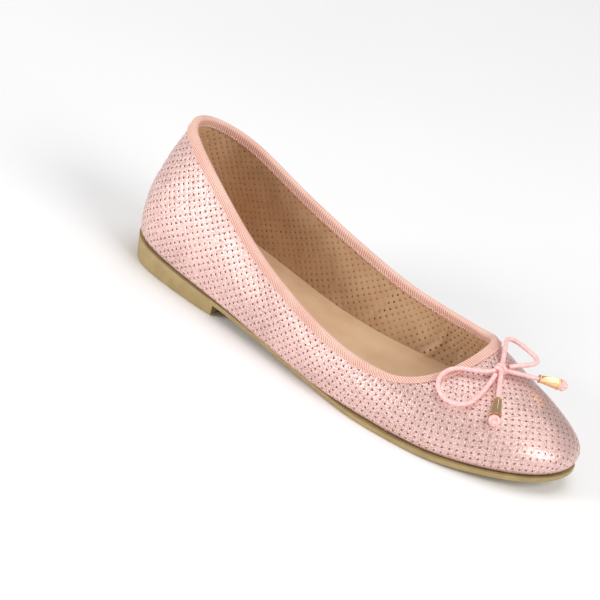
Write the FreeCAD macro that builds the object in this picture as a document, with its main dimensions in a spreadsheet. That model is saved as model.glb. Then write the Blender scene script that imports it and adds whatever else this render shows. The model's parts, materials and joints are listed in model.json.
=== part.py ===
import FreeCAD, Part
import math
import os
from FreeCAD import Placement, Rotation, Vector

# A flat ballet slipper for the right foot, in millimetres. X runs from heel to toe, Y from the
# lateral side (negative) to the medial side, Z up. The origin is under the middle of its box.

doc = FreeCAD.newDocument("ballet_slipper")

# ---------------------------------------------------------------- driving dimensions
SIZES = [
    ("sole_length", 250.0, "feather edge, back of heel to tip of toe"),
    ("ball_breadth", 76.0, "feather edge, across the ball of the foot"),
    ("back_height", 75.0, "ground to the top of the back"),
    ("heel_height", 12.7, "ground to the seat, at the back"),
    ("heel_reach", 63.5, "back of the heel to the heel breast"),
    ("heel_inset", 2.3, "ground edge of the heel inside the feather edge"),
    ("toe_spring", 8.2, "underside of the toe above the ground"),
    ("sole_thickness", 2.8, "unit sole, ball to toe"),
    ("sole_welt", 0.6, "sole standing out past the feather edge"),
    ("sole_bond", 0.25, "cement between the lasted upper and the sole"),
    ("waist_tuck", 3.5, "sole edge inside the upper at the waist"),
    ("feather_radius", 4.0, "bend of the upper where it turns under"),
    ("lasting_margin", 12.0, "upper turned under the insole"),
    ("upper_thickness", 1.0, "leather"),
    ("lining_thickness", 0.6, "lining skin"),
    ("glue_gap", 0.12, "glue line between two layers"),
    ("stiffener_edge", 0.3, "skived edge of the counter and the toe puff"),
    ("stiffener_thickness", 0.8, "counter and toe puff above their skived edge"),
    ("tape_thickness", 0.3, "topline tape"),
    ("tape_width", 4.0, "topline tape"),
    ("binding_thickness", 0.6, "ribbed binding"),
    ("binding_width", 4.8, "leg of the binding down each face"),
    ("seam_gap", 0.2, "butted ends at the back seam"),
    ("strip_thickness", 0.8, "back strip"),
    ("strip_foot", 12.0, "back strip width at the sole"),
    ("strip_head", 7.0, "back strip width at the binding"),
    ("board_thickness", 1.8, "insole board"),
    ("foam_thickness", 2.5, "sock foam"),
    ("sock_thickness", 0.8, "sock lining"),
    ("shank_width", 12.0, "shank"),
    ("shank_thickness", 1.1, "shank"),
    ("shank_start", 30.0, "back of the heel to the shank"),
    ("shank_end", 136.0, "back of the heel to the front of the shank"),
    ("shank_offset", 4.0, "middle of the shank to the lateral side of the heel's middle"),
    ("cord_diameter", 2.2, "bow cord"),
    ("knot_radius", 3.0, "bow knot"),
    ("tip_length", 10.0, "metal cord end"),
    ("tip_mouth", 6.4, "metal cord end, across its mouth"),
    ("tip_neck", 4.4, "metal cord end, across its neck"),
    ("tip_wall", 0.3, "metal cord end, at its mouth"),
    ("tip_clearance", 0.4, "cord in the bore of its metal end"),
    ("end_knot_radius", 2.9, "knot under a metal cord end"),
    ("end_knot_setback", 4.0, "end of the cord's route to the middle of its end knot"),
    ("mouth_setback", 2.0, "middle of the end knot to the mouth of the metal end"),
    ("edge_ease", 0.5, "board, foam and sock short of the bend of the upper"),
    ("tack_diameter", 1.2, "stitch that holds the bow down"),
    ("bow_setback", 14.0, "topline to the knot, along the vamp"),
]


def fill_sheet():
    sheet = doc.addObject("Spreadsheet::Sheet", "sizes")
    for row, (alias, value, note) in enumerate(SIZES, start=1):
        sheet.set("A%d" % row, str(value))
        sheet.setAlias("A%d" % row, alias)
        sheet.set("B%d" % row, note)
    doc.recompute()
    return {alias: float(sheet.get(alias)) for alias, _, _ in SIZES}


size = fill_sheet()

# ---------------------------------------------------------------- the last
# Stations round the last, from the middle of the back along the lateral side to the toe and home
# along the medial side. Feather edge x and y, topline x, y and z, then the wall's handles: rise
# and belly out of the feather edge, pull and drop out of the topline.
DRAWN_LENGTH, DRAWN_BREADTH, DRAWN_HEIGHT = 250.0, 76.0, 75.0
STATIONS = [
    (0, 0.5, 10, 1, 75, 24, 4.5, 0.28, 14),
    (6, -17, 15.5, -11.5, 73.5, 23, 4.3, 0.25, 13),
    (27, -27, 38, -22.5, 65, 20, 3.8, 0.09, 14),
    (70, -31.5, 68.5, -28, 49, 14.5, 3.5, 0, 12),
    (111, -36.5, 99, -34, 38.5, 11.5, 3.4, 0, 10),
    (148, -40, 134, -38, 30.5, 9.5, 3.4, 0, 8),
    (189, -37.5, 161, -36.5, 28.5, 12, 3, 0.15, 7.5),
    (216, -29.5, 176, -28.5, 30.5, 12.5, 2.7, 0.34, 2),
    (241, -15, 185, -14, 36, 13, 3.1, 0.34, 2.5),
    (250, 5, 189, 4, 43, 14, 3.8, 0.28, 5),
    (243, 21.5, 186.5, 18.5, 44, 13, 3.8, 0.2, 8),
    (222.5, 31, 177, 30, 38.5, 12, 3.1, 0.2, 6.5),
    (190, 38, 160, 33.5, 36.5, 12, 3.1, 0.1, 9.5),
    (161, 32, 134, 31, 38.5, 12.5, 3.4, 0, 11),
    (116, 23, 107, 27, 45, 14, 3.4, 0, 12),
    (75, 23, 67.5, 23.5, 56, 17, 3.5, 0, 14.5),
    (30, 26.5, 34.5, 22, 66, 20, 3.6, 0.02, 16),
    (7.5, 17.5, 15.5, 13.5, 72, 22, 4, 0.1, 15),
]
TURNS = len(STATIONS)

# Seat line of the last: share of the length, then height above the ground. It slopes down evenly
# under the heel, is nearly level from the waist to the ball, and then springs up to the toe.
WAIST_RISE = 0.8
SEAT = [
    (0.0, size["heel_height"]),
    (0.15, size["heel_height"] * 0.8),
    (0.3, size["heel_height"] * 0.6),
    (0.5, size["sole_thickness"] + WAIST_RISE),
    (0.65, size["sole_thickness"]),
    (0.8, size["sole_thickness"] + 0.1 * size["toe_spring"]),
    (1.0, size["sole_thickness"] + size["toe_spring"]),
]


def curve_through(points, parameters, closed):
    curve = Part.BSplineCurve()
    curve.interpolate(Points=points, PeriodicFlag=closed, Parameters=parameters)
    return curve


def ring_curve(points):
    return curve_through(points, [float(i) for i in range(TURNS + 1)], True)


along = size["sole_length"] / DRAWN_LENGTH
across = size["ball_breadth"] / DRAWN_BREADTH
upward = size["back_height"] / DRAWN_HEIGHT

feather = ring_curve([Vector(r[0] * along, r[1] * across, 0) for r in STATIONS])
topline = ring_curve([Vector(r[2] * along, r[3] * across, r[4] * upward) for r in STATIONS])
# The third value only keeps neighbouring stations apart.
foot_handles = ring_curve([Vector(r[5] * upward, r[6], r[0]) for r in STATIONS])
top_handles = ring_curve([Vector(r[7], r[8] * upward, r[0]) for r in STATIONS])
seat = curve_through(
    [Vector(share * size["sole_length"], 0, z) for share, z in SEAT],
    [share * size["sole_length"] for share, _ in SEAT], False)


def seat_height(x):
    """Height of the seat line, carried straight on past its two ends."""
    inside = min(max(x, 0.0), size["sole_length"])
    slope = seat.tangent(inside)[0]
    return seat.value(inside).z + (x - inside) * slope.z / slope.x


def feather_frame(turn):
    """Point of the feather edge in plan, and the way out of the shoe there."""
    point = feather.value(turn % TURNS)
    run = feather.tangent(turn % TURNS)[0]
    return point, Vector(run.y, -run.x, 0).normalize() * OUTWARD


OUTWARD = 1.0
if (feather_frame(0.0)[1]).x > 0:
    OUTWARD = -1.0

MARGIN_STEPS, BEND_STEPS, WALL_STEPS = 6, 10, 44


def bezier(a, b, c, d, share):
    rest = 1.0 - share
    return a * rest ** 3 + b * (3 * rest ** 2 * share) + c * (3 * rest * share ** 2) + d * share ** 3


def on_seat(place, lift):
    return Vector(place.x, place.y, seat_height(place.x) + lift)


def skin_section(turn):
    """Points of the outer skin at one station: margin, bend at the feather edge, then the wall."""
    edge, out = feather_frame(turn)
    top = topline.value(turn % TURNS)
    foot = foot_handles.value(turn % TURNS)
    head = top_handles.value(turn % TURNS)
    radius = size["feather_radius"]
    up = Vector(0, 0, 1)
    points = []
    for i in range(MARGIN_STEPS):
        reach = size["lasting_margin"] * (1.0 - i / MARGIN_STEPS)
        points.append(on_seat(edge - out * (radius + reach), 0.0))
    for i in range(BEND_STEPS):
        angle = 0.5 * math.pi * i / BEND_STEPS
        points.append(on_seat(edge - out * (radius * (1.0 - math.sin(angle))),
                              radius * (1.0 - math.cos(angle))))
    start = on_seat(edge, radius)
    pull = Vector(edge.x - top.x, edge.y - top.y, 0) * head.x
    for i in range(WALL_STEPS + 1):
        points.append(bezier(start, start + up * foot.x + out * foot.y,
                             top + pull - up * head.y, top, i / WALL_STEPS))
    return points


section_store = {}


def skin_column(turn):
    """Section with its outward normals and its running length, measured from the feather bend."""
    key = round(turn % TURNS, 5)
    if key in section_store:
        return section_store[key]
    step = 0.02
    here = skin_section(turn)
    before = skin_section(turn - step)
    after = skin_section(turn + step)
    normals = []
    for i in range(len(here)):
        climb = here[min(i + 1, len(here) - 1)] - here[max(i - 1, 0)]
        normals.append((after[i] - before[i]).cross(climb).normalize() * OUTWARD)
    lengths = [0.0]
    for a, b in zip(here, here[1:]):
        lengths.append(lengths[-1] + a.distanceToPoint(b))
    zero = lengths[MARGIN_STEPS]
    section_store[key] = (here, normals, [value - zero for value in lengths])
    return section_store[key]


def skin_at(turn, length):
    """Point and outward normal of the skin, at a running length up one station's section."""
    points, normals, lengths = skin_column(turn)
    i = 0
    while i < len(lengths) - 2 and lengths[i + 1] < length:
        i += 1
    share = (length - lengths[i]) / (lengths[i + 1] - lengths[i])
    return (points[i] + (points[i + 1] - points[i]) * share,
            (normals[i] + (normals[i + 1] - normals[i]) * share).normalize())


def skin_top(turn):
    return skin_column(turn)[2][-1]


def bend_length():
    return 0.5 * math.pi * size["feather_radius"]


# ---------------------------------------------------------------- layers that follow the last
def smooth_step(value, low, high):
    share = min(max((value - low) / (high - low), 0.0), 1.0)
    return share * share * (3.0 - 2.0 * share)


def turn_from_back(turn):
    return abs((turn + 0.5 * TURNS) % TURNS - 0.5 * TURNS)


def turn_from_toe(turn):
    return abs(turn % TURNS - 0.5 * TURNS)


COUNTER_TURNS, COUNTER_FADE, COUNTER_TOP = 3.25, 0.9, 1.8
PUFF_TURNS, PUFF_FADE, PUFF_TOP = 2.5, 0.7, 1.6
SKIVE = 0.3
EDGE_DROP = 1.0


def cut_edge(turn):
    return skin_top(turn) - EDGE_DROP


def length_at(turn, place):
    """Running length of a place on a section: -1 to 0 margin, 0 to 1 bend, 1 to 2 wall."""
    if place < 0:
        return place * size["lasting_margin"]
    if place < 1:
        return place * bend_length()
    return bend_length() + (place - 1) * (cut_edge(turn) - bend_length())


def stiffener_body(side, turns, fade, place, top):
    """How full a stiffener is: 1 in its middle and 0 at its skived edges."""
    sides = 1.0 - smooth_step(side, turns - fade, turns)
    return sides * smooth_step(place, 0.5, 0.5 + 2 * SKIVE) * (
        1.0 - smooth_step(place, top - SKIVE, top))


def stiffener_depth(turn, place):
    body = stiffener_body(turn_from_back(turn), COUNTER_TURNS, COUNTER_FADE, place, COUNTER_TOP)
    body += stiffener_body(turn_from_toe(turn), PUFF_TURNS, PUFF_FADE, place, PUFF_TOP)
    return size["stiffener_edge"] + size["stiffener_thickness"] * body


def lining_depth(turn, place):
    """Depth of the lining's outer face under the skin: it lies on whatever is in front of it."""
    packing = max(stiffener_depth(turn, place), size["tape_thickness"])
    return size["upper_thickness"] + 2 * size["glue_gap"] + packing


def chord_parameters(lines):
    """Shared parameters for several lines of points: their running lengths, averaged."""
    parameters = [0.0]
    for i in range(1, len(lines[0])):
        gaps = [line[i].distanceToPoint(line[i - 1]) for line in lines]
        parameters.append(parameters[-1] + sum(gaps) / len(gaps))
    return parameters


def surface_through(grid):
    """Smooth surface through a grid of points: up each column first, then across the poles."""
    climb = chord_parameters(grid)
    columns = [curve_through(column, climb, False) for column in grid]
    poles = list(zip(*[column.getPoles() for column in columns]))
    run = chord_parameters(list(zip(*grid)))
    rows = [curve_through(list(row), run, False) for row in poles]
    surface = Part.BSplineSurface()
    surface.buildFromPolesMultsKnots(
        [list(line) for line in zip(*[row.getPoles() for row in rows])],
        rows[0].getMultiplicities(), columns[0].getMultiplicities(),
        rows[0].getKnots(), columns[0].getKnots(), False, False, 3, 3)
    return surface


def solid_between(outer, inner):
    """Closed solid between two grids of points with the same rows and columns."""
    front, back = surface_through(outer), surface_through(inner)
    faces = [front.toShape(), back.toShape()]
    first_u, last_u, first_v, last_v = front.bounds()
    low_u, high_u, low_v, high_v = back.bounds()
    rims = [(front.uIso(first_u), back.uIso(low_u)), (front.uIso(last_u), back.uIso(high_u)),
            (front.vIso(first_v), back.vIso(low_v)), (front.vIso(last_v), back.vIso(high_v))]
    for a, b in rims:
        faces.append(Part.makeRuledSurface(a.toShape(), b.toShape()))
    shell = Part.makeShell(faces)
    shell.sewShape()
    solid = Part.makeSolid(shell)
    if solid.Volume < 0:
        solid.reverse()
    return solid


def add_feature(label, shape):
    feature = doc.addObject("Part::Feature", label)
    feature.Label = label
    feature.Shape = shape
    return feature


def spread(start, end, count):
    return [start + (end - start) * i / (count - 1) for i in range(count)]


def seam_turn(turn):
    """Station of the butted end at the back seam: half the seam gap away from the middle."""
    pace = skin_section(0.1)[-1].distanceToPoint(skin_section(0.0)[-1]) / 0.1
    return turn + math.copysign(0.5 * size["seam_gap"] / pace, 0.5 * TURNS - turn)


def ring_turns():
    return spread(seam_turn(0.0), seam_turn(float(TURNS)), 4 * TURNS + 1)


MARGIN_PLACES = [-1.0, -0.5]
BEND_PLACES = [0.0, 0.25, 0.5, 0.75]
WALL_PLACES = [1.0 + i / 15.0 for i in range(16)]


def layer(turns, places, depth_out, depth_in):
    """Solid of one layer: places up each station, at the layer's outer and its inner depth."""
    outer, inner = [], []
    for turn in turns:
        points = [(place, skin_at(turn, length_at(turn, place))) for place in places]
        outer.append([p - n * depth_out(turn, place) for place, (p, n) in points])
        inner.append([p - n * depth_in(turn, place) for place, (p, n) in points])
    return solid_between(outer, inner)


def make_upper():
    return add_feature("upper", layer(
        ring_turns(), MARGIN_PLACES + BEND_PLACES + WALL_PLACES,
        lambda turn, place: 0.0, lambda turn, place: size["upper_thickness"]))


LINING_MARGIN = [-0.6, -0.3]


def make_lining():
    return add_feature("lining", layer(
        ring_turns(), LINING_MARGIN + BEND_PLACES + WALL_PLACES, lining_depth,
        lambda turn, place: lining_depth(turn, place) + size["lining_thickness"]))


def behind_upper(turn, place):
    return size["upper_thickness"] + size["glue_gap"]


def stiffener(label, middle, turns, top):
    places = BEND_PLACES[2:] + [place for place in WALL_PLACES if place <= top]
    return add_feature(label, layer(
        spread(middle - turns, middle + turns, int(8 * turns) + 1), places, behind_upper,
        lambda turn, place: behind_upper(turn, place) + stiffener_depth(turn, place)))


def make_heel_counter():
    return stiffener("heel_counter", 0.0, COUNTER_TURNS, COUNTER_TOP)


def make_toe_puff():
    return stiffener("toe_puff", 0.5 * TURNS, PUFF_TURNS, PUFF_TOP)


def make_topline_tape():
    outer, inner = [], []
    for turn in ring_turns():
        edge = cut_edge(turn)
        places = [skin_at(turn, row) for row in spread(edge - size["tape_width"], edge, 5)]
        depth = behind_upper(turn, 2.0)
        outer.append([p - n * depth for p, n in places])
        inner.append([p - n * (depth + size["tape_thickness"]) for p, n in places])
    return add_feature("topline_tape", solid_between(outer, inner))


def make_topline_binding():
    """Ribbed binding folded over the topline: two legs and a half-round fold between them."""
    outer, inner = [], []
    for turn in ring_turns():
        top = skin_top(turn)
        fold = cut_edge(turn)
        stack = lining_depth(turn, 2.0) + size["lining_thickness"]
        wall, gap = size["binding_thickness"], size["glue_gap"]
        far, near = [], []
        for row in spread(top - size["binding_width"], fold, 4):
            point, normal = skin_at(turn, row)
            far.append(point + normal * (gap + wall))
            near.append(point + normal * gap)
        point, normal = skin_at(turn, fold)
        climb = (skin_at(turn, top)[0] - point).normalize()
        middle = point - normal * (0.5 * stack)
        for i in range(1, 6):
            angle = math.pi * i / 6.0
            reach = normal * math.cos(angle)
            rise = climb * math.sin(angle)
            half = 0.5 * stack + gap
            far.append(middle + reach * (half + wall) + rise * (EDGE_DROP + 0.5 * wall))
            near.append(middle + reach * half + rise * (EDGE_DROP - 0.5 * wall))
        for row in spread(fold, top - size["binding_width"], 4):
            point, normal = skin_at(turn, row)
            near.append(point - normal * (stack + gap))
            far.append(point - normal * (stack + gap + wall))
        outer.append(far)
        inner.append(near)
    return add_feature("topline_binding", solid_between(outer, inner))


def make_back_strip():
    """Strip over the back seam, from the sole to the lip of the binding."""
    low = 0.5 * bend_length()
    high = skin_top(0.0) - size["binding_width"] - 2 * size["glue_gap"]
    rows = spread(low, bend_length(), 3)[:-1] + spread(bend_length(), high, 15)
    outer, inner = [], []
    for across_share in spread(-1.0, 1.0, 9):
        far, near = [], []
        for row in rows:
            share = (row - low) / (high - low)
            half = 0.5 * (size["strip_foot"] + (size["strip_head"] - size["strip_foot"]) * share)
            pace = skin_at(0.1, row)[0].distanceToPoint(skin_at(0.0, row)[0]) / 0.1
            point, normal = skin_at(across_share * half / pace, row)
            near.append(point + normal * size["glue_gap"])
            far.append(point + normal * (size["glue_gap"] + size["strip_thickness"]))
        outer.append(far)
        inner.append(near)
    return add_feature("back_strip", solid_between(outer, inner))


# ---------------------------------------------------------------- bottom: plan outline x side band
BAND_REACH = 6.0
HALF_SPAN = 70.0
WALL_OVERRUN = 1.0
BREAST_FADE = 25.0


def plan_outline(label, inset, z):
    """Closed outline at one height, inside the feather edge by inset(x)."""
    points = []
    for i in range(3 * TURNS):
        point, out = feather_frame(i / 3.0)
        points.append(point - out * inset(point.x) + Vector(0, 0, z))
    curve = Part.BSplineCurve()
    curve.interpolate(Points=points, PeriodicFlag=True)
    return add_feature(label, Part.Wire([curve.toShape()]))


def height_edge(height, start, end):
    xs = spread(start, end, 25)
    curve = Part.BSplineCurve()
    curve.interpolate(Points=[Vector(x, -HALF_SPAN, height(x)) for x in xs])
    return curve


def side_band(label, below, above, start, end):
    """Face between two height lines, drawn on the lateral side of everything."""
    low, high = height_edge(below, start, end), height_edge(above, start, end)
    edges = [low.toShape(), Part.makeLine(low.EndPoint, high.EndPoint),
             high.toShape(), Part.makeLine(high.StartPoint, low.StartPoint)]
    return add_feature(label, Part.Face(Part.Wire(Part.__sortEdges__(edges))))


def extrude(label, base, direction, length):
    body = doc.addObject("Part::Extrusion", label)
    body.Base = base
    body.DirMode = "Custom"
    body.Dir = direction
    body.LengthFwd = length
    body.Solid = True
    return body


def common(label, first, second):
    body = doc.addObject("Part::Common", label)
    body.Base = first
    body.Tool = second
    body.Label = label
    return body


def bottom_layer(label, inset, bottom, thickness):
    """Sheet that follows the seat line, cut to an outline inside the feather edge."""
    outline = plan_outline(label + "_outline", inset, -BAND_REACH)
    prism = extrude(label + "_prism", outline, Vector(0, 0, 1), 8 * BAND_REACH)
    band = side_band(label + "_band", lambda x: seat_height(x) + bottom,
                     lambda x: seat_height(x) + bottom + thickness,
                     -BAND_REACH, size["sole_length"] + BAND_REACH)
    slab = extrude(label + "_slab", band, Vector(0, 1, 0), 2 * HALF_SPAN)
    return common(label, prism, slab)


def waist_share(x):
    """0 at the heel and the forepart, 1 at the waist."""
    share = x / size["sole_length"]
    return smooth_step(share, 0.2, 0.4) * (1.0 - smooth_step(share, 0.5, 0.66))


def sole_inset(x):
    return size["waist_tuck"] * waist_share(x) - size["sole_welt"] * (1.0 - waist_share(x))


def ground_inset(x):
    heel_share = 1.0 - smooth_step(x, size["heel_reach"], size["heel_reach"] + BREAST_FADE)
    return sole_inset(x) + (size["heel_inset"] + size["sole_welt"]) * heel_share


def sole_bottom(x):
    return max(seat_height(x) - size["sole_thickness"], 0.0)


def make_outsole():
    """Unit sole with its low heel: walls lofted from the ground edge up to the feather edge."""
    loft = doc.addObject("Part::Loft", "sole_walls")
    loft.Sections = [plan_outline("ground_outline", ground_inset, -WALL_OVERRUN),
                     plan_outline("seat_outline", sole_inset,
                                  size["heel_height"] + 4 * WALL_OVERRUN)]
    loft.Solid = True
    loft.Ruled = True
    top = height_edge(lambda x: seat_height(x) - size["sole_bond"], -BAND_REACH,
                      size["sole_length"] + BAND_REACH)
    waist = height_edge(sole_bottom, size["heel_reach"], size["sole_length"] + BAND_REACH)
    back = Vector(-BAND_REACH, -HALF_SPAN, 0)
    breast = Vector(size["heel_reach"], -HALF_SPAN, 0)
    edges = [top.toShape(), Part.makeLine(top.StartPoint, back), Part.makeLine(back, breast),
             Part.makeLine(breast, waist.StartPoint), waist.toShape(),
             Part.makeLine(waist.EndPoint, top.EndPoint)]
    side = add_feature("sole_side", Part.Face(Part.Wire(Part.__sortEdges__(edges))))
    return common("outsole", loft, extrude("sole_slab", side, Vector(0, 1, 0), 2 * HALF_SPAN))


def filler_inset(x):
    return size["lasting_margin"] + size["feather_radius"] + size["edge_ease"]


def board_inset(x):
    return size["feather_radius"] + size["edge_ease"]


def stack_bottom():
    """Top of the turned-under upper and lining, which carries the insole board."""
    return (size["upper_thickness"] + 2 * size["glue_gap"] + size["stiffener_edge"]
            + size["lining_thickness"] + size["glue_gap"])


def shank_plan(name, margin):
    """Box round the shank's plan, with a margin named by its cell or 0."""
    box = doc.addObject("Part::Box", name)
    box.setExpression("Length", "sizes.shank_end - sizes.shank_start + 2 * " + margin)
    box.setExpression("Width", "sizes.shank_width + 2 * " + margin)
    box.Height = 8 * BAND_REACH
    box.setExpression(".Placement.Base.x", "sizes.shank_start - " + margin)
    box.setExpression(".Placement.Base.y", "-sizes.shank_offset - 0.5 * sizes.shank_width - " + margin)
    box.Placement.Base.z = -BAND_REACH
    return box


def shank_band(name, margin):
    low = stack_bottom() - size["glue_gap"] - size["shank_thickness"] - margin
    return extrude(name, side_band(name + "_face", lambda x: seat_height(x) + low,
                                   lambda x: seat_height(x) + stack_bottom() - size["glue_gap"]
                                   + margin, 0.0, size["sole_length"]),
                   Vector(0, 1, 0), 2 * HALF_SPAN)


def make_shank():
    return common("shank", shank_plan("shank_plan", "0"),
                  shank_band("shank_band", 0.0))


def make_bottom_filler():
    """Cork sheet between the lasting margins, slotted for the shank."""
    outline = plan_outline("filler_outline", filler_inset, -BAND_REACH)
    prism = extrude("filler_prism", outline, Vector(0, 0, 1), 8 * BAND_REACH)
    band = side_band("filler_band", seat_height,
                     lambda x: seat_height(x) + stack_bottom() - size["glue_gap"],
                     0.0, size["sole_length"])
    sheet = common("filler_sheet", prism,
                   extrude("filler_slab", band, Vector(0, 1, 0), 2 * HALF_SPAN))
    slot = common("shank_slot", shank_plan("slot_plan", "sizes.glue_gap"),
                  shank_band("slot_band", size["glue_gap"]))
    body = doc.addObject("Part::Cut", "bottom_filler")
    body.Base = sheet
    body.Tool = slot
    body.Label = "bottom_filler"
    return body


def make_insole_board():
    return bottom_layer("insole_board", board_inset, stack_bottom(), size["board_thickness"])


def make_sock_foam():
    bottom = stack_bottom() + size["board_thickness"] + size["glue_gap"]
    return bottom_layer("sock_foam", board_inset, bottom, size["foam_thickness"])


def make_sock_lining():
    bottom = (stack_bottom() + size["board_thickness"] + size["foam_thickness"]
              + 2 * size["glue_gap"])
    return bottom_layer("sock_lining", board_inset, bottom, size["sock_thickness"])


# ---------------------------------------------------------------- bow
BOW_TURN = 0.2
KNOT_SEAT = 0.85
HEXAGON_FLAT = math.cos(math.pi / 6.0)


def bow_anchor():
    """Middle of the knot: on the vamp in front of the throat, lifted off it by its own radius."""
    turn = 0.5 * TURNS - BOW_TURN
    point, normal = skin_at(turn, skin_top(turn) - size["bow_setback"])
    return point + normal * (size["knot_radius"] + 2 * size["glue_gap"]), normal


KNOT_CENTRE, KNOT_UP = bow_anchor()

# Routes of the bow cord, from the middle of the knot. Both ends of a loop are at the knot.
OUTER_LOOP = [(-2.2, -3.8, -1.4), (-6.0, -8.6, -2.4), (-12.5, -12.5, -2.8), (-17.1, -17.6, -4.6),
              (-17.0, -25.0, -7.6), (-11.5, -30.0, -10.4), (-4.0, -30.0, -12.0),
              (2.0, -25.0, -10.6), (2.6, -16.5, -6.8), (1.6, -9.5, -3.8), (0.4, -4.4, -1.4)]
INNER_LOOP = [(-2.0, 4.0, 0.6), (-4.7, 8.8, 2.6), (-8.4, 14.6, 4.3), (-10.6, 18.3, 4.8),
              (-9.6, 21.5, 4.6), (-5.8, 22.4, 4.4), (0.4, 21.6, 3.9), (5.6, 20.8, 3.3),
              (8.3, 18.6, 2.7), (7.6, 15.0, 2.3), (4.4, 9.4, 1.6), (1.4, 4.4, 0.6)]
OUTER_TAIL = [(2.7, -3.3, -1.4), (10.0, -14.0, -6.2), (18.0, -26.3, -13.2)]
INNER_TAIL = [(3.3, 3.0, -0.4), (14.2, 13.9, -1.4), (25.0, 24.7, -3.2)]


def route_points(route):
    return [KNOT_CENTRE + Vector(*step) for step in route]


def route_wire(points, label):
    """Straight runs joined by tangent arcs, each as large as its two runs allow."""
    edges, start = [], points[0]
    for before, corner, after in zip(points, points[1:], points[2:]):
        back, ahead = (before - corner), (after - corner)
        turn = math.pi - back.getAngle(ahead)
        trim = 0.45 * min(back.Length, ahead.Length)
        radius = trim / math.tan(0.5 * turn)
        entry = corner + back.normalize() * trim
        leave = corner + ahead.normalize() * trim
        bisector = ((entry + leave) * 0.5 - corner).normalize()
        to_centre = math.hypot(radius, trim)
        middle = corner + bisector * (to_centre - radius)
        edges.append(Part.LineSegment(start, entry).toShape())
        edges.append(Part.Arc(entry, middle, leave).toShape())
        start = leave
        print("%s radius %.1f" % (label, radius))
    edges.append(Part.LineSegment(start, points[-1]).toShape())
    return Part.Wire(edges)


def make_cord(label, route, round_end):
    """Tube along a route, with a ball end wherever the cord swings beside the knot."""
    points = route_points(route)
    wire = route_wire(points, label)
    radius = 0.5 * size["cord_diameter"]
    circle = Part.Wire([Part.makeCircle(radius, points[0], points[1] - points[0])])
    tube = wire.makePipeShell([circle], True, True)
    share = tube.Volume / (math.pi * radius ** 2 * wire.Length)
    print("%s length %.1f, volume over section times length %.3f" % (label, wire.Length, share))
    ends = [points[0], points[-1]] if round_end else [points[0]]
    for end in ends:
        tube = tube.fuse(Part.makeSphere(radius, end))
    return add_feature(label, tube.removeSplitter())


def make_bow_knot():
    """Round knot with a flat seat for its tack stitch."""
    ball = doc.addObject("Part::Ellipsoid", "knot_ball")
    for side in ("Radius1", "Radius2", "Radius3"):
        ball.setExpression(side, "sizes.knot_radius")
    ball.Angle1, ball.Angle2, ball.Angle3 = -90, 90, 360
    seat_box = doc.addObject("Part::Box", "knot_seat")
    for side in ("Length", "Width", "Height"):
        seat_box.setExpression(side, "2 * sizes.knot_radius")
    seat_box.setExpression(".Placement.Base.x", "-sizes.knot_radius")
    seat_box.setExpression(".Placement.Base.y", "-sizes.knot_radius")
    seat_box.setExpression(".Placement.Base.z", "-%.2f * sizes.knot_radius" % (2 + KNOT_SEAT))
    knot = doc.addObject("Part::Cut", "bow_knot")
    knot.Base = ball
    knot.Tool = seat_box
    knot.Label = "bow_knot"
    knot.Placement = Placement(KNOT_CENTRE, Rotation(Vector(0, 0, 1), KNOT_UP))
    return knot


def make_bow_tack():
    """Stitch between the flat of the knot and the skin of the vamp."""
    tack = doc.addObject("Part::Cylinder", "bow_tack")
    tack.Label = "bow_tack"
    tack.setExpression("Radius", "0.5 * sizes.tack_diameter")
    tack.setExpression("Height", "(1 - %.2f) * sizes.knot_radius + sizes.glue_gap" % KNOT_SEAT)
    drop = size["knot_radius"] + size["glue_gap"]
    tack.Placement = Placement(KNOT_CENTRE - KNOT_UP * drop, Rotation(Vector(0, 0, 1), KNOT_UP))
    return tack


def tail_end(route):
    """End knot's middle and the way back up the cord."""
    points = route_points(route)
    back = (points[-2] - points[-1]).normalize()
    return points[-1] + back * size["end_knot_setback"], back


def make_end_knot(label, route):
    ball = doc.addObject("Part::Sphere", label + "_ball")
    ball.setExpression("Radius", "sizes.end_knot_radius")
    bore = doc.addObject("Part::Cylinder", label + "_bore")
    bore.setExpression("Radius", "0.5 * sizes.cord_diameter")
    bore.setExpression("Height", "4 * sizes.end_knot_radius")
    bore.setExpression(".Placement.Base.z", "-2 * sizes.end_knot_radius")
    knot = doc.addObject("Part::Cut", label)
    knot.Base = ball
    knot.Tool = bore
    knot.Label = label
    centre, back = tail_end(route)
    knot.Placement = Placement(centre, Rotation(Vector(0, 0, 1), back))
    return knot


def make_cord_tip(label, route):
    """Six-sided metal bell with a round neck bore and a flared hollow."""
    section = []
    for end, width in (("mouth", "tip_mouth"), ("neck", "tip_neck")):
        polygon = doc.addObject("Part::RegularPolygon", label + "_" + end)
        polygon.Polygon = 6
        polygon.setExpression("Circumradius", "0.5 * sizes.%s" % width)
        section.append(polygon)
    section[1].setExpression(".Placement.Base.z", "sizes.tip_length")
    shell = doc.addObject("Part::Loft", label + "_shell")
    shell.Sections = section
    shell.Solid = True
    shell.Ruled = True
    hollow = doc.addObject("Part::Cone", label + "_hollow")
    hollow.setExpression("Radius1", "0.5 * %.4f * sizes.tip_mouth - sizes.tip_wall" % HEXAGON_FLAT)
    hollow.setExpression("Radius2", "0.5 * sizes.cord_diameter + sizes.tip_clearance")
    hollow.setExpression("Height", "0.8 * sizes.tip_length")
    bore = doc.addObject("Part::Cylinder", label + "_bore")
    bore.setExpression("Radius", "0.5 * sizes.cord_diameter + sizes.tip_clearance")
    bore.setExpression("Height", "2 * sizes.tip_length")
    room = doc.addObject("Part::MultiFuse", label + "_room")
    room.Shapes = [hollow, bore]
    tip = doc.addObject("Part::Cut", label)
    tip.Base = shell
    tip.Tool = room
    tip.Label = label
    centre, back = tail_end(route)
    mouth = centre + back * size["mouth_setback"]
    tip.Placement = Placement(mouth, Rotation(Vector(0, 0, 1), back))
    return tip


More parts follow.
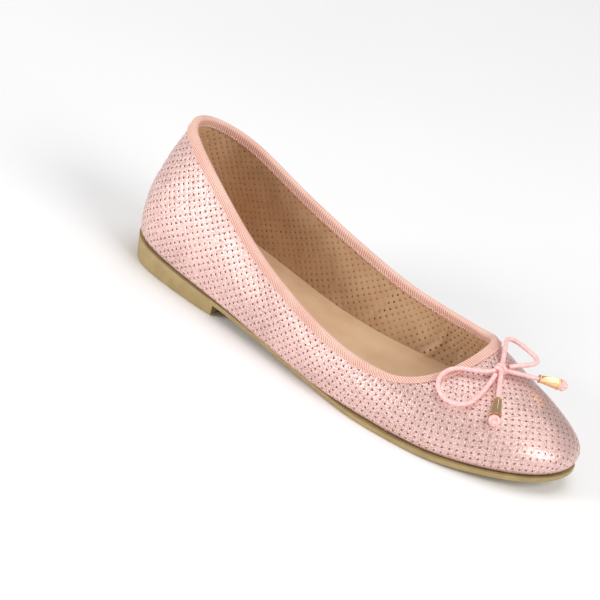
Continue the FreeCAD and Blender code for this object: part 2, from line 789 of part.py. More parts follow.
# ---------------------------------------------------------------- assembly
BODY_PARTS = [make_outsole(), make_bottom_filler(), make_shank(), make_insole_board(),
              make_sock_foam(), make_sock_lining(), make_upper(), make_lining(),
              make_heel_counter(), make_toe_puff(), make_topline_tape(),
              make_topline_binding(), make_back_strip()]
BOW_PARTS = [make_bow_knot(), make_bow_tack(),
             make_cord("outer_loop", OUTER_LOOP, True), make_cord("inner_loop", INNER_LOOP, True),
             make_cord("outer_tail", OUTER_TAIL, False), make_cord("inner_tail", INNER_TAIL, False)]
for side, route in (("outer", OUTER_TAIL), ("inner", INNER_TAIL)):
    BOW_PARTS.append(make_end_knot(side + "_end_knot", route))
    BOW_PARTS.append(make_cord_tip(side + "_tip", route))

doc.recompute()


def set_origin(parts):
    """Bring the middle of the shoe's footprint to the origin, standing on the ground."""
    whole = Part.makeCompound([part.Shape for part in BODY_PARTS]).optimalBoundingBox(False)
    shift = Vector(-whole.Center.x, -whole.Center.y, -whole.ZMin)
    for part in parts:
        part.Placement = Placement(shift, Rotation()).multiply(part.Placement)
    print("shift", shift)
    print("size %.1f x %.1f x %.1f" % (whole.XLength, whole.YLength, whole.ZLength))
    print("knot centre", KNOT_CENTRE + shift)


def check_and_write(parts):
    for entry in doc.Objects:
        if "Invalid" in entry.State or "Error" in entry.State:
            raise RuntimeError("%s failed: %s" % (entry.Name, entry.State))
    for part in parts:
        if part.Shape.isNull() or not part.Shape.isValid() or not part.Shape.Solids:
            raise RuntimeError("%s has no sound solid" % part.Label)
    os.makedirs("parts", exist_ok=True)
    for part in parts:
        part.Shape.exportStep("parts/%s.step" % part.Label)
        print("%-16s %9.1f mm3" % (part.Label, part.Shape.Volume))


set_origin(BODY_PARTS + BOW_PARTS)
doc.recompute()
check_and_write(BODY_PARTS + BOW_PARTS)
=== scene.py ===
# %% [markdown]
# # A ballet slipper
# A flat slip-on shoe has a thin unit sole, a perforated leather upper and lining, a ribbed ribbon
# folded over the mouth, and a small cord bow with metal ends. The sizes and joints are already
# settled in the frame, so this lesson only gives each piece its true surface.

# %% Load the frame
import json
import math
import bmesh
import bpy
import numpy as np
from mathutils import Matrix, Vector
from mathutils.bvhtree import BVHTree
from mathutils.geometry import delaunay_2d_cdt


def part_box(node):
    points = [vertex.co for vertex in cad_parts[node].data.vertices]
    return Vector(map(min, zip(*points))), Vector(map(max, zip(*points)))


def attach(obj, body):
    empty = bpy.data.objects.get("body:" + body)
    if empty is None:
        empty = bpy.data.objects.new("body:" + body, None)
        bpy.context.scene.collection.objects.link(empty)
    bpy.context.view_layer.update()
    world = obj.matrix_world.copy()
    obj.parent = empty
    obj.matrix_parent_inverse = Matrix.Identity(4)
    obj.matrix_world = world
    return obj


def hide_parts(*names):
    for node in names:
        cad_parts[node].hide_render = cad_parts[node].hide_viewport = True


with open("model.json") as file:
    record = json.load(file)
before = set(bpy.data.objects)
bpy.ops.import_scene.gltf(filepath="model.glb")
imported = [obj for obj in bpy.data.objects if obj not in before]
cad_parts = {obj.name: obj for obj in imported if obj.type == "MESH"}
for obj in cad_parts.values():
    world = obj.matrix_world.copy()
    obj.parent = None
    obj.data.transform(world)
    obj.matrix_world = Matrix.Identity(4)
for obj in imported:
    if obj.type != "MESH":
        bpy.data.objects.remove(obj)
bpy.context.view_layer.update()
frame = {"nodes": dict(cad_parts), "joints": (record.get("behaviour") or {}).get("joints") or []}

joints = {joint["name"]: joint for joint in frame["joints"]}
MM = 0.001
print("nodes in the frame:", len(frame["nodes"]))

# %% [markdown]
# ## Camera
# A long lens from the front left and above keeps the shoe nearly free of perspective. The camera
# leans a little, so that the shoe runs down across the picture from its heel to its toe.

# %% Camera
AIM = Vector((-0.032, 0.0012, 0.0171))
DISTANCE = 1.5525
LENS = 195.4
AZIMUTH, ELEVATION, LEAN = math.radians(28.23), math.radians(27.02), math.radians(-17.86)

look = Vector((-math.sin(AZIMUTH) * math.cos(ELEVATION), math.cos(AZIMUTH) * math.cos(ELEVATION),
               -math.sin(ELEVATION)))
level = look.cross(Vector((0, 0, 1))).normalized()
upright = level.cross(look) * math.cos(LEAN) + level * math.sin(LEAN)
turned = Matrix((look.cross(upright), upright, -look)).transposed().to_4x4()
bpy.ops.object.camera_add(location=AIM - look * DISTANCE)
camera = bpy.context.object
camera.name = "camera"
camera.matrix_world = Matrix.Translation(AIM - look * DISTANCE) @ turned
camera.data.lens = LENS
camera.data.sensor_width = 36.0
camera.data.clip_end = 20.0
bpy.context.scene.camera = camera
print("camera at", [round(value, 3) for value in camera.location])

# %% [markdown]
# ## Cords of the bow
# The bow is one round leather cord of 2.2 mm. Its two loops and two tails are separate pieces here,
# because each lifts about its own place at the knot. Each is one smooth NURBS curve through control
# points, which keeps the soft bends that a real cord has.

# %% Cord routes, from the middle of the knot
CORD = 2.2 * MM
ROUTES = {
    "outer_loop": [(-2.2, -3.8, -1.4), (-6.0, -8.6, -2.4), (-12.5, -12.5, -2.8), (-17.1, -17.6, -4.6),
                   (-17.0, -25.0, -7.6), (-11.5, -30.0, -10.4), (-4.0, -30.0, -12.0),
                   (2.0, -25.0, -10.6), (2.6, -16.5, -6.8), (1.6, -9.5, -3.8), (0.4, -4.4, -1.4)],
    "inner_loop": [(-2.0, 4.0, 0.6), (-4.7, 8.8, 2.6), (-8.4, 14.6, 4.3), (-10.6, 18.3, 4.8),
                   (-9.6, 21.5, 4.6), (-5.8, 22.4, 4.4), (0.4, 21.6, 3.9), (5.6, 20.8, 3.3),
                   (8.3, 18.6, 2.7), (7.6, 15.0, 2.3), (4.4, 9.4, 1.6), (1.4, 4.4, 0.6)],
    "outer_tail": [(2.7, -3.3, -1.4), (10.0, -14.0, -6.2), (18.0, -26.3, -13.2)],
    "inner_tail": [(3.3, 3.0, -0.4), (14.2, 13.9, -1.4), (25.0, 24.7, -3.2)]}
KNOT = Vector(joints["outer_tail_lift"]["pos_m"]) - Vector(ROUTES["outer_tail"][0]) * MM


def cord_curve(name, points, smoothness=12):
    """Round cord along one open NURBS spline through control points in metres."""
    data = bpy.data.curves.new(name, "CURVE")
    data.dimensions = "3D"
    spline = data.splines.new("NURBS")
    spline.points.add(len(points) - 1)
    for control, point in zip(spline.points, points):
        control.co = (*point, 1.0)
    spline.order_u = 3
    spline.use_endpoint_u = True
    spline.resolution_u = smoothness
    data.bevel_depth = 0.5 * CORD
    data.bevel_resolution = 5
    data.use_fill_caps = True
    cord = bpy.data.objects.new(name, data)
    bpy.context.scene.collection.objects.link(cord)
    return cord


END_TRIM = 1.5 * MM
cords = {}
for name, route in ROUTES.items():
    points = [KNOT + Vector(step) * MM for step in route]
    if name.endswith("tail"):
        points[-1] += (points[-2] - points[-1]).normalized() * END_TRIM
    cords[name] = cord_curve(name + "_cord", points)
    print(name, "has", len(route), "control points")

# %% [markdown]
# ## Shader arithmetic
# A finish is a small sum of patterns. This class lets the sum be written as ordinary arithmetic:
# each operation on a socket adds the Math node that it stands for.

# %% Sockets that take part in arithmetic
class Wire:
    def __init__(self, finish, socket):
        self.finish = finish
        self.socket = socket

    def math(self, operation, first, second):
        return self.finish.node("ShaderNodeMath", {"operation": operation}, {0: first, 1: second})

    def __add__(self, other):
        return self.math("ADD", self, other)

    def __sub__(self, other):
        return self.math("SUBTRACT", self, other)

    def __rsub__(self, other):
        return self.math("SUBTRACT", other, self)

    def __mul__(self, other):
        return self.math("MULTIPLY", self, other)

    __radd__ = __add__

    def between(self, low, high):
        """0 below low, 1 above high, and a smooth step from one to the other."""
        return self.finish.node("ShaderNodeMapRange", {"interpolation_type": "SMOOTHSTEP"},
                                {"Value": self, "From Min": low, "From Max": high})


def tint(red, green, blue):
    """Linear colour of an ordinary 0 to 255 colour."""
    return (*[(value / 255.0) ** 2.2 for value in (red, green, blue)], 1.0)


class Finish:
    """One material: a Principled shader whose sockets are fed by patterns."""

    def __init__(self, name, **constants):
        self.material = bpy.data.materials.new(name)
        self.material.use_nodes = True
        self.tree = self.material.node_tree
        self.shader = self.tree.nodes["Principled BSDF"]
        self.feed(**constants)

    def feed(self, **sockets):
        for name, value in sockets.items():
            self.join(self.shader.inputs[name.replace("_", " ")], value)

    def join(self, socket, value):
        if isinstance(value, Wire):
            self.tree.links.new(value.socket, socket)
        else:
            socket.default_value = value

    def node(self, kind, settings, inputs, outlet=0):
        made = self.tree.nodes.new(kind)
        for name, value in settings.items():
            setattr(made, name, value)
        for name, value in inputs.items():
            self.join(made.inputs[name], value)
        return Wire(self, made.outputs[outlet])

    def place(self, stretch=(1, 1, 1)):
        """Object coordinates, stretched."""
        where = self.node("ShaderNodeTexCoord", {}, {}, "Object")
        return self.node("ShaderNodeMapping", {}, {"Vector": where, "Scale": stretch})

    def noise(self, size, detail=2.0, where=None):
        """Cloudy pattern whose blots are about size metres across."""
        return self.node("ShaderNodeTexNoise", {},
                         {"Vector": where or self.place(), "Scale": 1.0 / size, "Detail": detail})

    def cells(self, size, feature="F1"):
        return self.node("ShaderNodeTexVoronoi", {"feature": feature},
                         {"Vector": self.place(), "Scale": 1.0 / size}, "Distance")

    def attribute(self, name):
        return self.node("ShaderNodeAttribute", {"attribute_name": name}, {}, "Fac")

    def mix(self, factor, first, second):
        return self.node("ShaderNodeMix", {"data_type": "RGBA"},
                         {0: factor, 6: first, 7: second}, 2)

    def bump(self, height, distance, strength=1.0):
        self.feed(Normal=self.node("ShaderNodeBump", {}, {"Height": height, "Distance": distance,
                                                          "Strength": strength}))


# %% [markdown]
# ## Finishes that show
# The upper is leather with a thin metal foil pressed on. The foil has cracked into flakes of about
# a millimetre, so most of it shines, the cracks are matt, and no two flakes shine quite alike.

# %% Foil leather
WARP, FLAKE, GRAIN, CLOUD = 0.0016, 0.0009, 0.0005, 0.022


def foil_leather(name):
    """Leather with a cracked metal foil on it, worn through to dull specks of grain."""
    finish = Finish(name, Coat_Weight=0.25, Coat_Roughness=0.2)
    warp = finish.noise(WARP, 3.0)
    flakes = finish.cells(FLAKE, "DISTANCE_TO_EDGE")
    cracks = 1.0 - (flakes + warp * 0.12).between(0.04, 0.14)
    glint = finish.noise(GRAIN, 5.0)
    cloud = finish.noise(CLOUD, 3.0)
    worn = (glint + cloud * 0.35).between(0.48, 0.8)
    specks = (finish.noise(GRAIN, 2.0) + cloud * 0.25).between(0.57, 0.7)
    base = finish.mix(worn, tint(241, 202, 195), tint(252, 229, 222))
    base = finish.mix(cracks * 0.45, base, tint(206, 148, 142))
    base = finish.mix(specks * 0.65, base, tint(166, 106, 98))
    finish.feed(Base_Color=base, Metallic=worn * 0.3 + 0.55 - specks * 0.3,
                Roughness=0.38 - worn * 0.12 + specks * 0.2)
    finish.bump(glint * 0.6 + warp * 0.4 - cracks * 0.3, 0.00025, 0.8)
    return finish.material


finishes = {name: foil_leather(name) for name in ("foil_leather", "strip_leather")}


def add_finishes(make, table):
    """Make one finish for each row: its two shades, then the maker's other values."""
    for name, (dark, light, *values) in table.items():
        finishes[name] = make(name, tint(*dark), tint(*light), *values)


# %% Plain finishes: two shades, size of the blots, roughness, height of the grain, other values
def plain_finish(name, dark, light, size, roughness, height, constants=()):
    """Matt material whose colour drifts between two shades."""
    finish = Finish(name, **dict(constants))
    blots = finish.noise(size, 4.0)
    fine = finish.noise(size * 0.2, 3.0)
    finish.feed(Base_Color=finish.mix(blots.between(0.3, 0.7), dark, light),
                Roughness=roughness + fine * 0.15)
    finish.bump(fine, height)
    return finish.material


DULL = {"Specular_IOR_Level": 0.05}
add_finishes(plain_finish, {
    # Painted shade: near-black colour for the walls and floors of the upper's punched holes, standing in
    # for the shade inside them.
    "punched_edge": ((14, 5, 6), (34, 15, 16), 0.003, 0.75, 0.00005, DULL),
    # Painted shade: dark brown colour for the walls and floors of the lining's holes, standing in for
    # the shade inside them.
    "lining_hole": ((22, 10, 5), (46, 25, 14), 0.003, 0.8, 0.00005, DULL),
    "lining_skin": ((193, 155, 119), (205, 169, 133), 0.012, 0.5, 0.00008),
    "sock_leather": ((214, 176, 138), (226, 192, 156), 0.02, 0.42, 0.00005),
    "gum_sole": ((155, 132, 90), (168, 146, 102), 0.008, 0.55, 0.0001),
    "bow_cord": ((240, 184, 182), (250, 206, 203), 0.0015, 0.34, 0.00004, {"Coat_Weight": 0.1}),
    "sewing_thread": ((238, 190, 180), (252, 220, 210), 0.0006, 0.6, 0.00004)})
print("plain finishes:", len(finishes))

# %% [markdown]
# ## Ribbon, metal and the hidden layers
# The ribbon's ribs are real geometry, and each point of the mesh carries how deep in the grooves it
# lies, so that painted shade can darken the colour there. The metal ends are rose gold, polished,
# with faint smears.

# %% Ribbed ribbon
def ribbed_ribbon():
    finish = Finish("ribbed_ribbon", Sheen_Weight=0.25, Sheen_Roughness=0.4)
    groove_shade = finish.attribute("groove_shade")
    threads = finish.noise(0.00035, 2.0)
    drift = finish.noise(0.015, 2.0)
    base = finish.mix(drift.between(0.3, 0.7), tint(236, 187, 169), tint(245, 202, 185))
    # Painted shade: the colour darkens down in the grooves between the ribs, where shade falls.
    base = finish.mix(groove_shade, base, tint(160, 98, 86))
    finish.feed(Base_Color=base, Roughness=0.5 + threads * 0.15)
    finish.bump(threads, 0.00006, 0.6)
    return finish.material


finishes["ribbed_ribbon"] = ribbed_ribbon()

# %% Rose gold
def gold_metal():
    finish = Finish("gold_metal", Metallic=1.0)
    smears = finish.noise(0.004, 3.0, finish.place((1, 1, 0.3)))
    scratches = finish.noise(0.0003, 2.0, finish.place((1, 0.1, 1)))
    finish.feed(Base_Color=finish.mix(smears, tint(240, 190, 134), tint(253, 222, 176)),
                Roughness=0.12 + smears * 0.1)
    finish.bump(scratches, 0.00001, 0.3)
    return finish.material


finishes["gold_metal"] = gold_metal()

# %% Hidden layers
def grained(name, dark, light, stretch, size, roughness, metallic):
    """Sheet with a direction in it: brushed steel, pressed fibre or woven tape."""
    finish = Finish(name, Metallic=metallic)
    grain = finish.noise(size, 4.0, finish.place(stretch))
    finish.feed(Base_Color=finish.mix(grain.between(0.35, 0.65), dark, light),
                Roughness=roughness + grain * 0.2)
    finish.bump(grain, 0.00008)
    return finish.material


def speckled(name, dark, light, size, roughness):
    """Crumbs or open cells packed side by side: cork or foam."""
    finish = Finish(name)
    crumbs = finish.cells(size)
    finish.feed(Base_Color=finish.mix(crumbs.between(0.1, 0.6), light, dark), Roughness=roughness)
    finish.bump(crumbs, 0.0003, 0.6)
    return finish.material


add_finishes(grained, {
    "shank_steel": ((120, 122, 126), (176, 178, 182), (0.05, 1, 1), 0.0006, 0.3, 0.95),
    "fibre_board": ((150, 124, 92), (188, 162, 126), (0.3, 1, 1), 0.0009, 0.7, 0.0),
    "woven_tape": ((206, 200, 188), (232, 228, 218), (1, 1, 0.3), 0.0005, 0.7, 0.0),
    "stiffener_sheet": ((206, 198, 182), (226, 220, 206), (1, 1, 1), 0.0012, 0.6, 0.0)})
add_finishes(speckled, {"cork_filler": ((120, 80, 46), (186, 138, 92), 0.0016, 0.8),
                        "foam": ((214, 204, 166), (240, 232, 202), 0.0008, 0.85)})
print("finishes:", ", ".join(sorted(finishes)))

# %% Give the hidden CAD nodes their finishes
HIDDEN = {"bottom_filler": "cork_filler", "shank": "shank_steel", "insole_board": "fibre_board",
          "heel_counter": "stiffener_sheet", "toe_puff": "stiffener_sheet",
          "topline_tape": "woven_tape", "bow_tack": "sewing_thread"}


def dress(piece, *names):
    """Give a piece its finishes in order, in place of what it had."""
    piece.data.materials.clear()
    for name in names:
        piece.data.materials.append(finishes[name])


for node, finish_name in HIDDEN.items():
    dress(frame["nodes"][node], finish_name)

# %% [markdown]
# ## The last
# Every layer of a shoe follows the last, the solid foot form that it is made on. The last here is a
# formula: stations round the feather edge give the edge, the topline and the handles of the wall
# between them, and a periodic cubic blends the stations. All numbers are millimetres until the mesh
# is made.

# %% Stations: feather x, y; topline x, y, z; rise, belly, pull, drop of the wall
STATIONS = np.array([
    (0, 0.5, 10, 1, 75, 24, 4.5, 0.28, 14), (6, -17, 15.5, -11.5, 73.5, 23, 4.3, 0.25, 13),
    (27, -27, 38, -22.5, 65, 20, 3.8, 0.09, 14), (70, -31.5, 68.5, -28, 49, 14.5, 3.5, 0, 12),
    (111, -36.5, 99, -34, 38.5, 11.5, 3.4, 0, 10), (148, -40, 134, -38, 30.5, 9.5, 3.4, 0, 8),
    (189, -37.5, 161, -36.5, 28.5, 12, 3, 0.15, 7.5), (216, -29.5, 176, -28.5, 30.5, 12.5, 2.7, 0.34, 2),
    (241, -15, 185, -14, 36, 13, 3.1, 0.34, 2.5), (250, 5, 189, 4, 43, 14, 3.8, 0.28, 5),
    (243, 21.5, 186.5, 18.5, 44, 13, 3.8, 0.2, 8), (222.5, 31, 177, 30, 38.5, 12, 3.1, 0.2, 6.5),
    (190, 38, 160, 33.5, 36.5, 12, 3.1, 0.1, 9.5), (161, 32, 134, 31, 38.5, 12.5, 3.4, 0, 11),
    (116, 23, 107, 27, 45, 14, 3.4, 0, 12), (75, 23, 67.5, 23.5, 56, 17, 3.5, 0, 14.5),
    (30, 26.5, 34.5, 22, 66, 20, 3.6, 0.02, 16), (7.5, 17.5, 15.5, 13.5, 72, 22, 4, 0.1, 15)], float)
TURNS = len(STATIONS)
SOLE_LENGTH, HEEL_HEIGHT, SOLE_THICKNESS, TOE_SPRING = 250.0, 12.7, 2.8, 8.2
FEATHER_RADIUS = 4.0
BEND_LENGTH = 0.5 * math.pi * FEATHER_RADIUS
UP = np.array((0.0, 0.0, 1.0))


def unit(vectors):
    return vectors / np.linalg.norm(vectors, axis=-1, keepdims=True)


def run_along(line):
    """Length run along a line of points, at each of them."""
    return np.concatenate([[0], np.cumsum(np.linalg.norm(np.diff(line, axis=0), axis=1))])


def periodic_poles(values):
    """Control values of the periodic cubic that passes through the stations."""
    identity = np.eye(len(values))
    weights = (4 * identity + np.roll(identity, 1, 0) + np.roll(identity, -1, 0)) / 6
    return np.linalg.solve(weights, values)


POLES = periodic_poles(STATIONS)


def station(turn):
    """The nine station values at any turn, 0 at the middle of the back and 9 at the toe."""
    whole = np.floor(turn).astype(int)
    rest = (turn - whole)[..., None]
    weights = ((1 - rest) ** 3, 3 * rest ** 3 - 6 * rest ** 2 + 4,
               1 + 3 * rest + 3 * rest ** 2 - 3 * rest ** 3, rest ** 3)
    return sum(weight * POLES[(whole + shift - 1) % TURNS]
               for shift, weight in enumerate(weights)) / 6


# %% Seat line of the last, as a cubic with set slopes at its ends
SEAT_X = np.array((0.0, 0.15, 0.3, 0.5, 0.65, 0.8, 1.0)) * SOLE_LENGTH
SEAT_Z = np.array((HEEL_HEIGHT, HEEL_HEIGHT * 0.8, HEEL_HEIGHT * 0.6, SOLE_THICKNESS + 0.8,
                   SOLE_THICKNESS, SOLE_THICKNESS + 0.1 * TOE_SPRING, SOLE_THICKNESS + TOE_SPRING))
SEAT_SLOPES = (-0.0677, 0.2195)


def slopes_through(x, z, ends):
    """Slopes at the given points that make the cubic through them smooth."""
    count = len(x)
    gaps = np.diff(x)
    rises = np.diff(z) / gaps
    matrix, target = np.eye(count), np.zeros(count)
    target[0], target[-1] = ends
    for i in range(1, count - 1):
        matrix[i, i - 1:i + 2] = gaps[i], 2 * (gaps[i - 1] + gaps[i]), gaps[i - 1]
        target[i] = 3 * (gaps[i] * rises[i - 1] + gaps[i - 1] * rises[i])
    return np.linalg.solve(matrix, target)


SEAT_RUN = slopes_through(SEAT_X, SEAT_Z, SEAT_SLOPES)


def seat(x):
    """Height of the seat line, carried straight on past its ends."""
    inside = np.clip(x, 0.0, SOLE_LENGTH)
    i = np.clip(np.searchsorted(SEAT_X, inside) - 1, 0, len(SEAT_X) - 2)
    gap = SEAT_X[i + 1] - SEAT_X[i]
    share = (inside - SEAT_X[i]) / gap
    rest = 1 - share
    height = (SEAT_Z[i] * rest ** 2 * (1 + 2 * share) + SEAT_Z[i + 1] * share ** 2 * (1 + 2 * rest)
              + gap * share * rest * (SEAT_RUN[i] * rest - SEAT_RUN[i + 1] * share))
    return height + (x - inside) * np.where(x < 0, SEAT_RUN[0], SEAT_RUN[-1])


print("seat height at the toe and the heel:", seat(np.array((250.0, 0.0))))

# %% The skin of the last: a bend at the feather edge, then the wall up to the topline
def outward(turn):
    """Way out of the shoe in plan."""
    step = station(turn + 0.001) - station(turn - 0.001)
    return unit(np.stack([step[..., 1], -step[..., 0]], -1) * OUTWARD)


OUTWARD = 1.0
OUTWARD = -1.0 if outward(np.array(0.0))[0] > 0 else 1.0


def raised(plan, height):
    return np.concatenate([plan, height[..., None]], -1)


BEND_STEPS, WALL_STEPS = 12, 90


def section(turn):
    """Points of whole sections: first index the turn, second index from the bend to the topline."""
    here = station(turn)[:, None, :]
    way = outward(turn)[:, None, :]
    edge, top = here[..., :2], here[..., 2:5]
    angle = np.linspace(0, 0.5 * math.pi, BEND_STEPS, endpoint=False)[None, :, None]
    plan = edge - way * FEATHER_RADIUS * (1 - np.sin(angle))
    bend = raised(plan, seat(plan[..., 0]) + FEATHER_RADIUS * (1 - np.cos(angle[..., 0])))
    start = raised(edge, seat(edge[..., 0]) + FEATHER_RADIUS)
    side = raised(way, np.zeros_like(way[..., 0]))
    foot = start + UP * here[..., 5:6] + side * here[..., 6:7]
    pull = raised(edge - top[..., :2], np.zeros_like(edge[..., 0]))
    head = top + pull * here[..., 7:8] - UP * here[..., 8:9]
    share = np.linspace(0, 1, WALL_STEPS)[None, :, None]
    rest = 1 - share
    wall = (rest ** 3 * start + 3 * rest ** 2 * share * foot + 3 * rest * share ** 2 * head
            + share ** 3 * top)
    return np.concatenate([bend, wall], 1)


# %% A table of the skin that any point can be read from
FINE = 40
ROWS = 160
table_turns = np.arange(TURNS * FINE + 1) / FINE


def even_rows(points):
    """The same sections with their points evenly spaced, and each section's length."""
    steps = np.linalg.norm(np.diff(points, axis=1), axis=-1)
    lengths = np.concatenate([np.zeros((len(points), 1)), np.cumsum(steps, 1)], 1)
    even = [np.stack([np.interp(np.linspace(0, run[-1], ROWS), run, line[:, axis])
                      for axis in range(3)], -1) for run, line in zip(lengths, points)]
    return np.array(even), lengths[:, -1]


SKIN, TOP = even_rows(section(table_turns))
around = np.roll(SKIN[:-1], -1, 0) - np.roll(SKIN[:-1], 1, 0)
around = np.concatenate([around, around[:1]], 0)
climb = np.gradient(SKIN, axis=1)
OUT = unit(np.cross(around, climb))
if OUT[0, ROWS // 2, 0] > 0:
    OUT = -OUT

low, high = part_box("upper")
SHIFT = np.array(((low.x + high.x) / 2, (low.y + high.y) / 2, 0.0)) / MM
SHIFT[:2] -= (SKIN[..., :2].min((0, 1)) + SKIN[..., :2].max((0, 1))) / 2
print("skin reaches", (SKIN.max((0, 1)) + SHIFT).round(2), "upper reaches", (high / MM)[:])


def read(table, turn, share):
    """Value of a table at a turn and a share of the way up its section."""
    column = np.clip(turn, 0, TURNS) * FINE
    row = np.clip(share, 0, 1) * (ROWS - 1)
    i = np.minimum(column.astype(int), len(table) - 2)
    j = np.minimum(row.astype(int), ROWS - 2)
    a, b = (column - i)[..., None], (row - j)[..., None]
    return ((1 - a) * (1 - b) * table[i, j] + a * (1 - b) * table[i + 1, j]
            + (1 - a) * b * table[i, j + 1] + a * b * table[i + 1, j + 1])


def top_length(turn):
    return np.interp(turn, table_turns, TOP)


def skin_at(turn, length, depth=0.0):
    """Points at a running length up the section, a depth under the skin, and the normals there."""
    share = length / top_length(turn)
    normal = unit(read(OUT, turn, share))
    return read(SKIN, turn, share) - normal * np.asarray(depth)[..., None], normal


# %% [markdown]
# ## Perforated leather
# The leather is punched flat and then pulled over the last, so the holes form a square lattice on
# the flat hide and bend with the shoe. A grid of the skin is unwrapped to get that flat pattern, the
# lattice is laid on it at 45 degrees to the shoe's length, and a constrained triangulation cuts every
# hole as a real recess.

# %% Flat pattern of the skin
PITCH = 3.0
HOLE = 0.57
DIMPLE_REACH = 1.35
COARSE = 4
COARSE_ROWS = 16
EDGE_DROP = 1.0
low_share = 0.3 * BEND_LENGTH / TOP.mean()


def activate(piece):
    """Make a piece the one selected and active object."""
    bpy.ops.object.select_all(action="DESELECT")
    piece.select_set(True)
    bpy.context.view_layer.objects.active = piece


def new_piece(name, points, faces, slots=None):
    """Mesh object from points in millimetres of the last's own frame."""
    mesh = bpy.data.meshes.new(name)
    corners = [list(map(int, face)) for face in faces]
    mesh.from_pydata(((np.asarray(points) + SHIFT) * MM).tolist(), [], corners)
    if slots is not None:
        mesh.polygons.foreach_set("material_index", np.asarray(slots, np.int32))
    piece = bpy.data.objects.new(name, mesh)
    bpy.context.scene.collection.objects.link(piece)
    return piece


def settle(piece, finish, *nodes, body="root", inner=(), angle=None):
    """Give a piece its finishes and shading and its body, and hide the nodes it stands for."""
    dress(piece, finish, *inner)
    activate(piece)
    if angle is None:
        bpy.ops.object.shade_smooth()
    else:
        bpy.ops.object.shade_smooth_by_angle(angle=math.radians(angle))
    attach(piece, body)
    if nodes:
        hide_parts(*nodes)
    return piece


def grid_faces(columns, rows):
    """Quads of a grid of points, columns first."""
    return [(i * rows + j, (i + 1) * rows + j, (i + 1) * rows + j + 1, i * rows + j + 1)
            for i in range(columns - 1) for j in range(rows - 1)]


coarse_turns = np.linspace(0, TURNS, TURNS * COARSE + 1)
coarse_shares = np.linspace(low_share, 1, COARSE_ROWS)
turn_grid, share_grid = np.meshgrid(coarse_turns, coarse_shares, indexing="ij")
pattern = new_piece("flat_pattern", read(SKIN, turn_grid, share_grid).reshape(-1, 3),
                    grid_faces(len(coarse_turns), COARSE_ROWS))
activate(pattern)
bpy.ops.object.mode_set(mode="EDIT")
bpy.ops.mesh.select_all(action="SELECT")
bpy.ops.uv.unwrap(method="MINIMUM_STRETCH", margin=0.0)
bpy.ops.object.mode_set(mode="OBJECT")

flat = np.zeros((turn_grid.size, 2))
for loop in pattern.data.loops:
    flat[loop.vertex_index] = pattern.data.uv_layers.active.data[loop.index].uv


def quad_area(points, quads):
    a, b, c, d = (points[np.array(quads)[:, k]] for k in range(4))
    return 0.5 * np.linalg.norm(np.cross(c - a, d - b), axis=-1).sum()


quads = grid_faces(len(coarse_turns), COARSE_ROWS)
real = quad_area(read(SKIN, turn_grid, share_grid).reshape(-1, 3), quads)
drawn = quad_area(np.c_[flat, np.zeros(len(flat))], quads)
flat *= math.sqrt(real / drawn)
toe = flat[len(coarse_turns) // 2 * COARSE_ROWS + COARSE_ROWS // 2]
back = (flat[COARSE_ROWS // 2] + flat[-COARSE_ROWS // 2]) / 2
axis = (toe - back) / np.linalg.norm(toe - back)
flat = (flat - toe) @ np.array(((axis[0], -axis[1]), (axis[1], axis[0])))
bpy.data.objects.remove(pattern)
print("flat pattern %.0f x %.0f mm, area %.0f mm2" % (*np.ptp(flat, axis=0), real))

# %% Lattice of holes on the flat pattern
triangles = np.array([(a, b, c) for a, b, c, d in quads] + [(a, c, d) for a, b, c, d in quads])
finder = BVHTree.FromPolygons([(x, y, 0.0) for x, y in flat], triangles.tolist())
place_grid = np.c_[turn_grid.ravel(), share_grid.ravel()]


def unflatten(points):
    """Turn and share of flat points, and how far outside the pattern each one lies."""
    found = [finder.find_nearest((x, y, 0.0)) for x, y in points]
    spot = np.array([hit[0][:2] for hit in found])
    a, b, c = (triangles[[hit[2] for hit in found]][:, k] for k in range(3))
    edge_b, edge_c, rest = flat[b] - flat[a], flat[c] - flat[a], spot - flat[a]
    area = edge_b[:, 0] * edge_c[:, 1] - edge_b[:, 1] * edge_c[:, 0]
    part_b = ((rest[:, 0] * edge_c[:, 1] - rest[:, 1] * edge_c[:, 0]) / area)[:, None]
    part_c = ((edge_b[:, 0] * rest[:, 1] - edge_b[:, 1] * rest[:, 0]) / area)[:, None]
    places = (1 - part_b - part_c) * place_grid[a] + part_b * place_grid[b] + part_c * place_grid[c]
    return places, np.array([hit[3] for hit in found])


def lattice(offset):
    """Points of the square lattice, laid at 45 degrees to the shoe's length."""
    reach = np.abs(flat).max() * 1.5
    count = int(reach / PITCH)
    i, j = np.meshgrid(np.arange(-count, count), np.arange(-count, count), indexing="ij")
    i, j = (i.ravel() + offset) * PITCH, (j.ravel() + offset) * PITCH
    points = np.c_[i - j, i + j] * math.sqrt(0.5)
    inside = (points > flat.min(0)).all(1) & (points < flat.max(0)).all(1)
    return points[inside]


def well_inside(points, top_room, end_room, low_room):
    places, away = unflatten(points)
    lengths = places[:, 1] * top_length(places[:, 0])
    keep = ((away < 1e-5) & (top_length(places[:, 0]) - lengths > EDGE_DROP + top_room)
            & (lengths > low_share * TOP.mean() + low_room)
            & (places[:, 0] > end_room) & (places[:, 0] < TURNS - end_room))
    return points[keep]


# Room left free at the top edge, at the back seam in turns, and at the low edge.
HOLE_ROOM, FILL_ROOM = (0.9, 0.06, 1.2), (0.3, 0.05, 0.5)
holes = well_inside(lattice(0.0), *HOLE_ROOM)
between = well_inside(lattice(0.5), *FILL_ROOM)
SIDES = 8
corner_angles = np.arange(SIDES) * 2 * math.pi / SIDES + math.pi / SIDES
corners = np.c_[np.cos(corner_angles), np.sin(corner_angles)]
rims = (holes[:, None, :] + corners * HOLE * DIMPLE_REACH).reshape(-1, 2)
print("holes:", len(holes))

# %% Triangulate the flat pattern round the holes
edge_turns = np.linspace(0, TURNS, TURNS * 10 + 1)
side_shares = np.linspace(0, 1, 40)[1:-1]


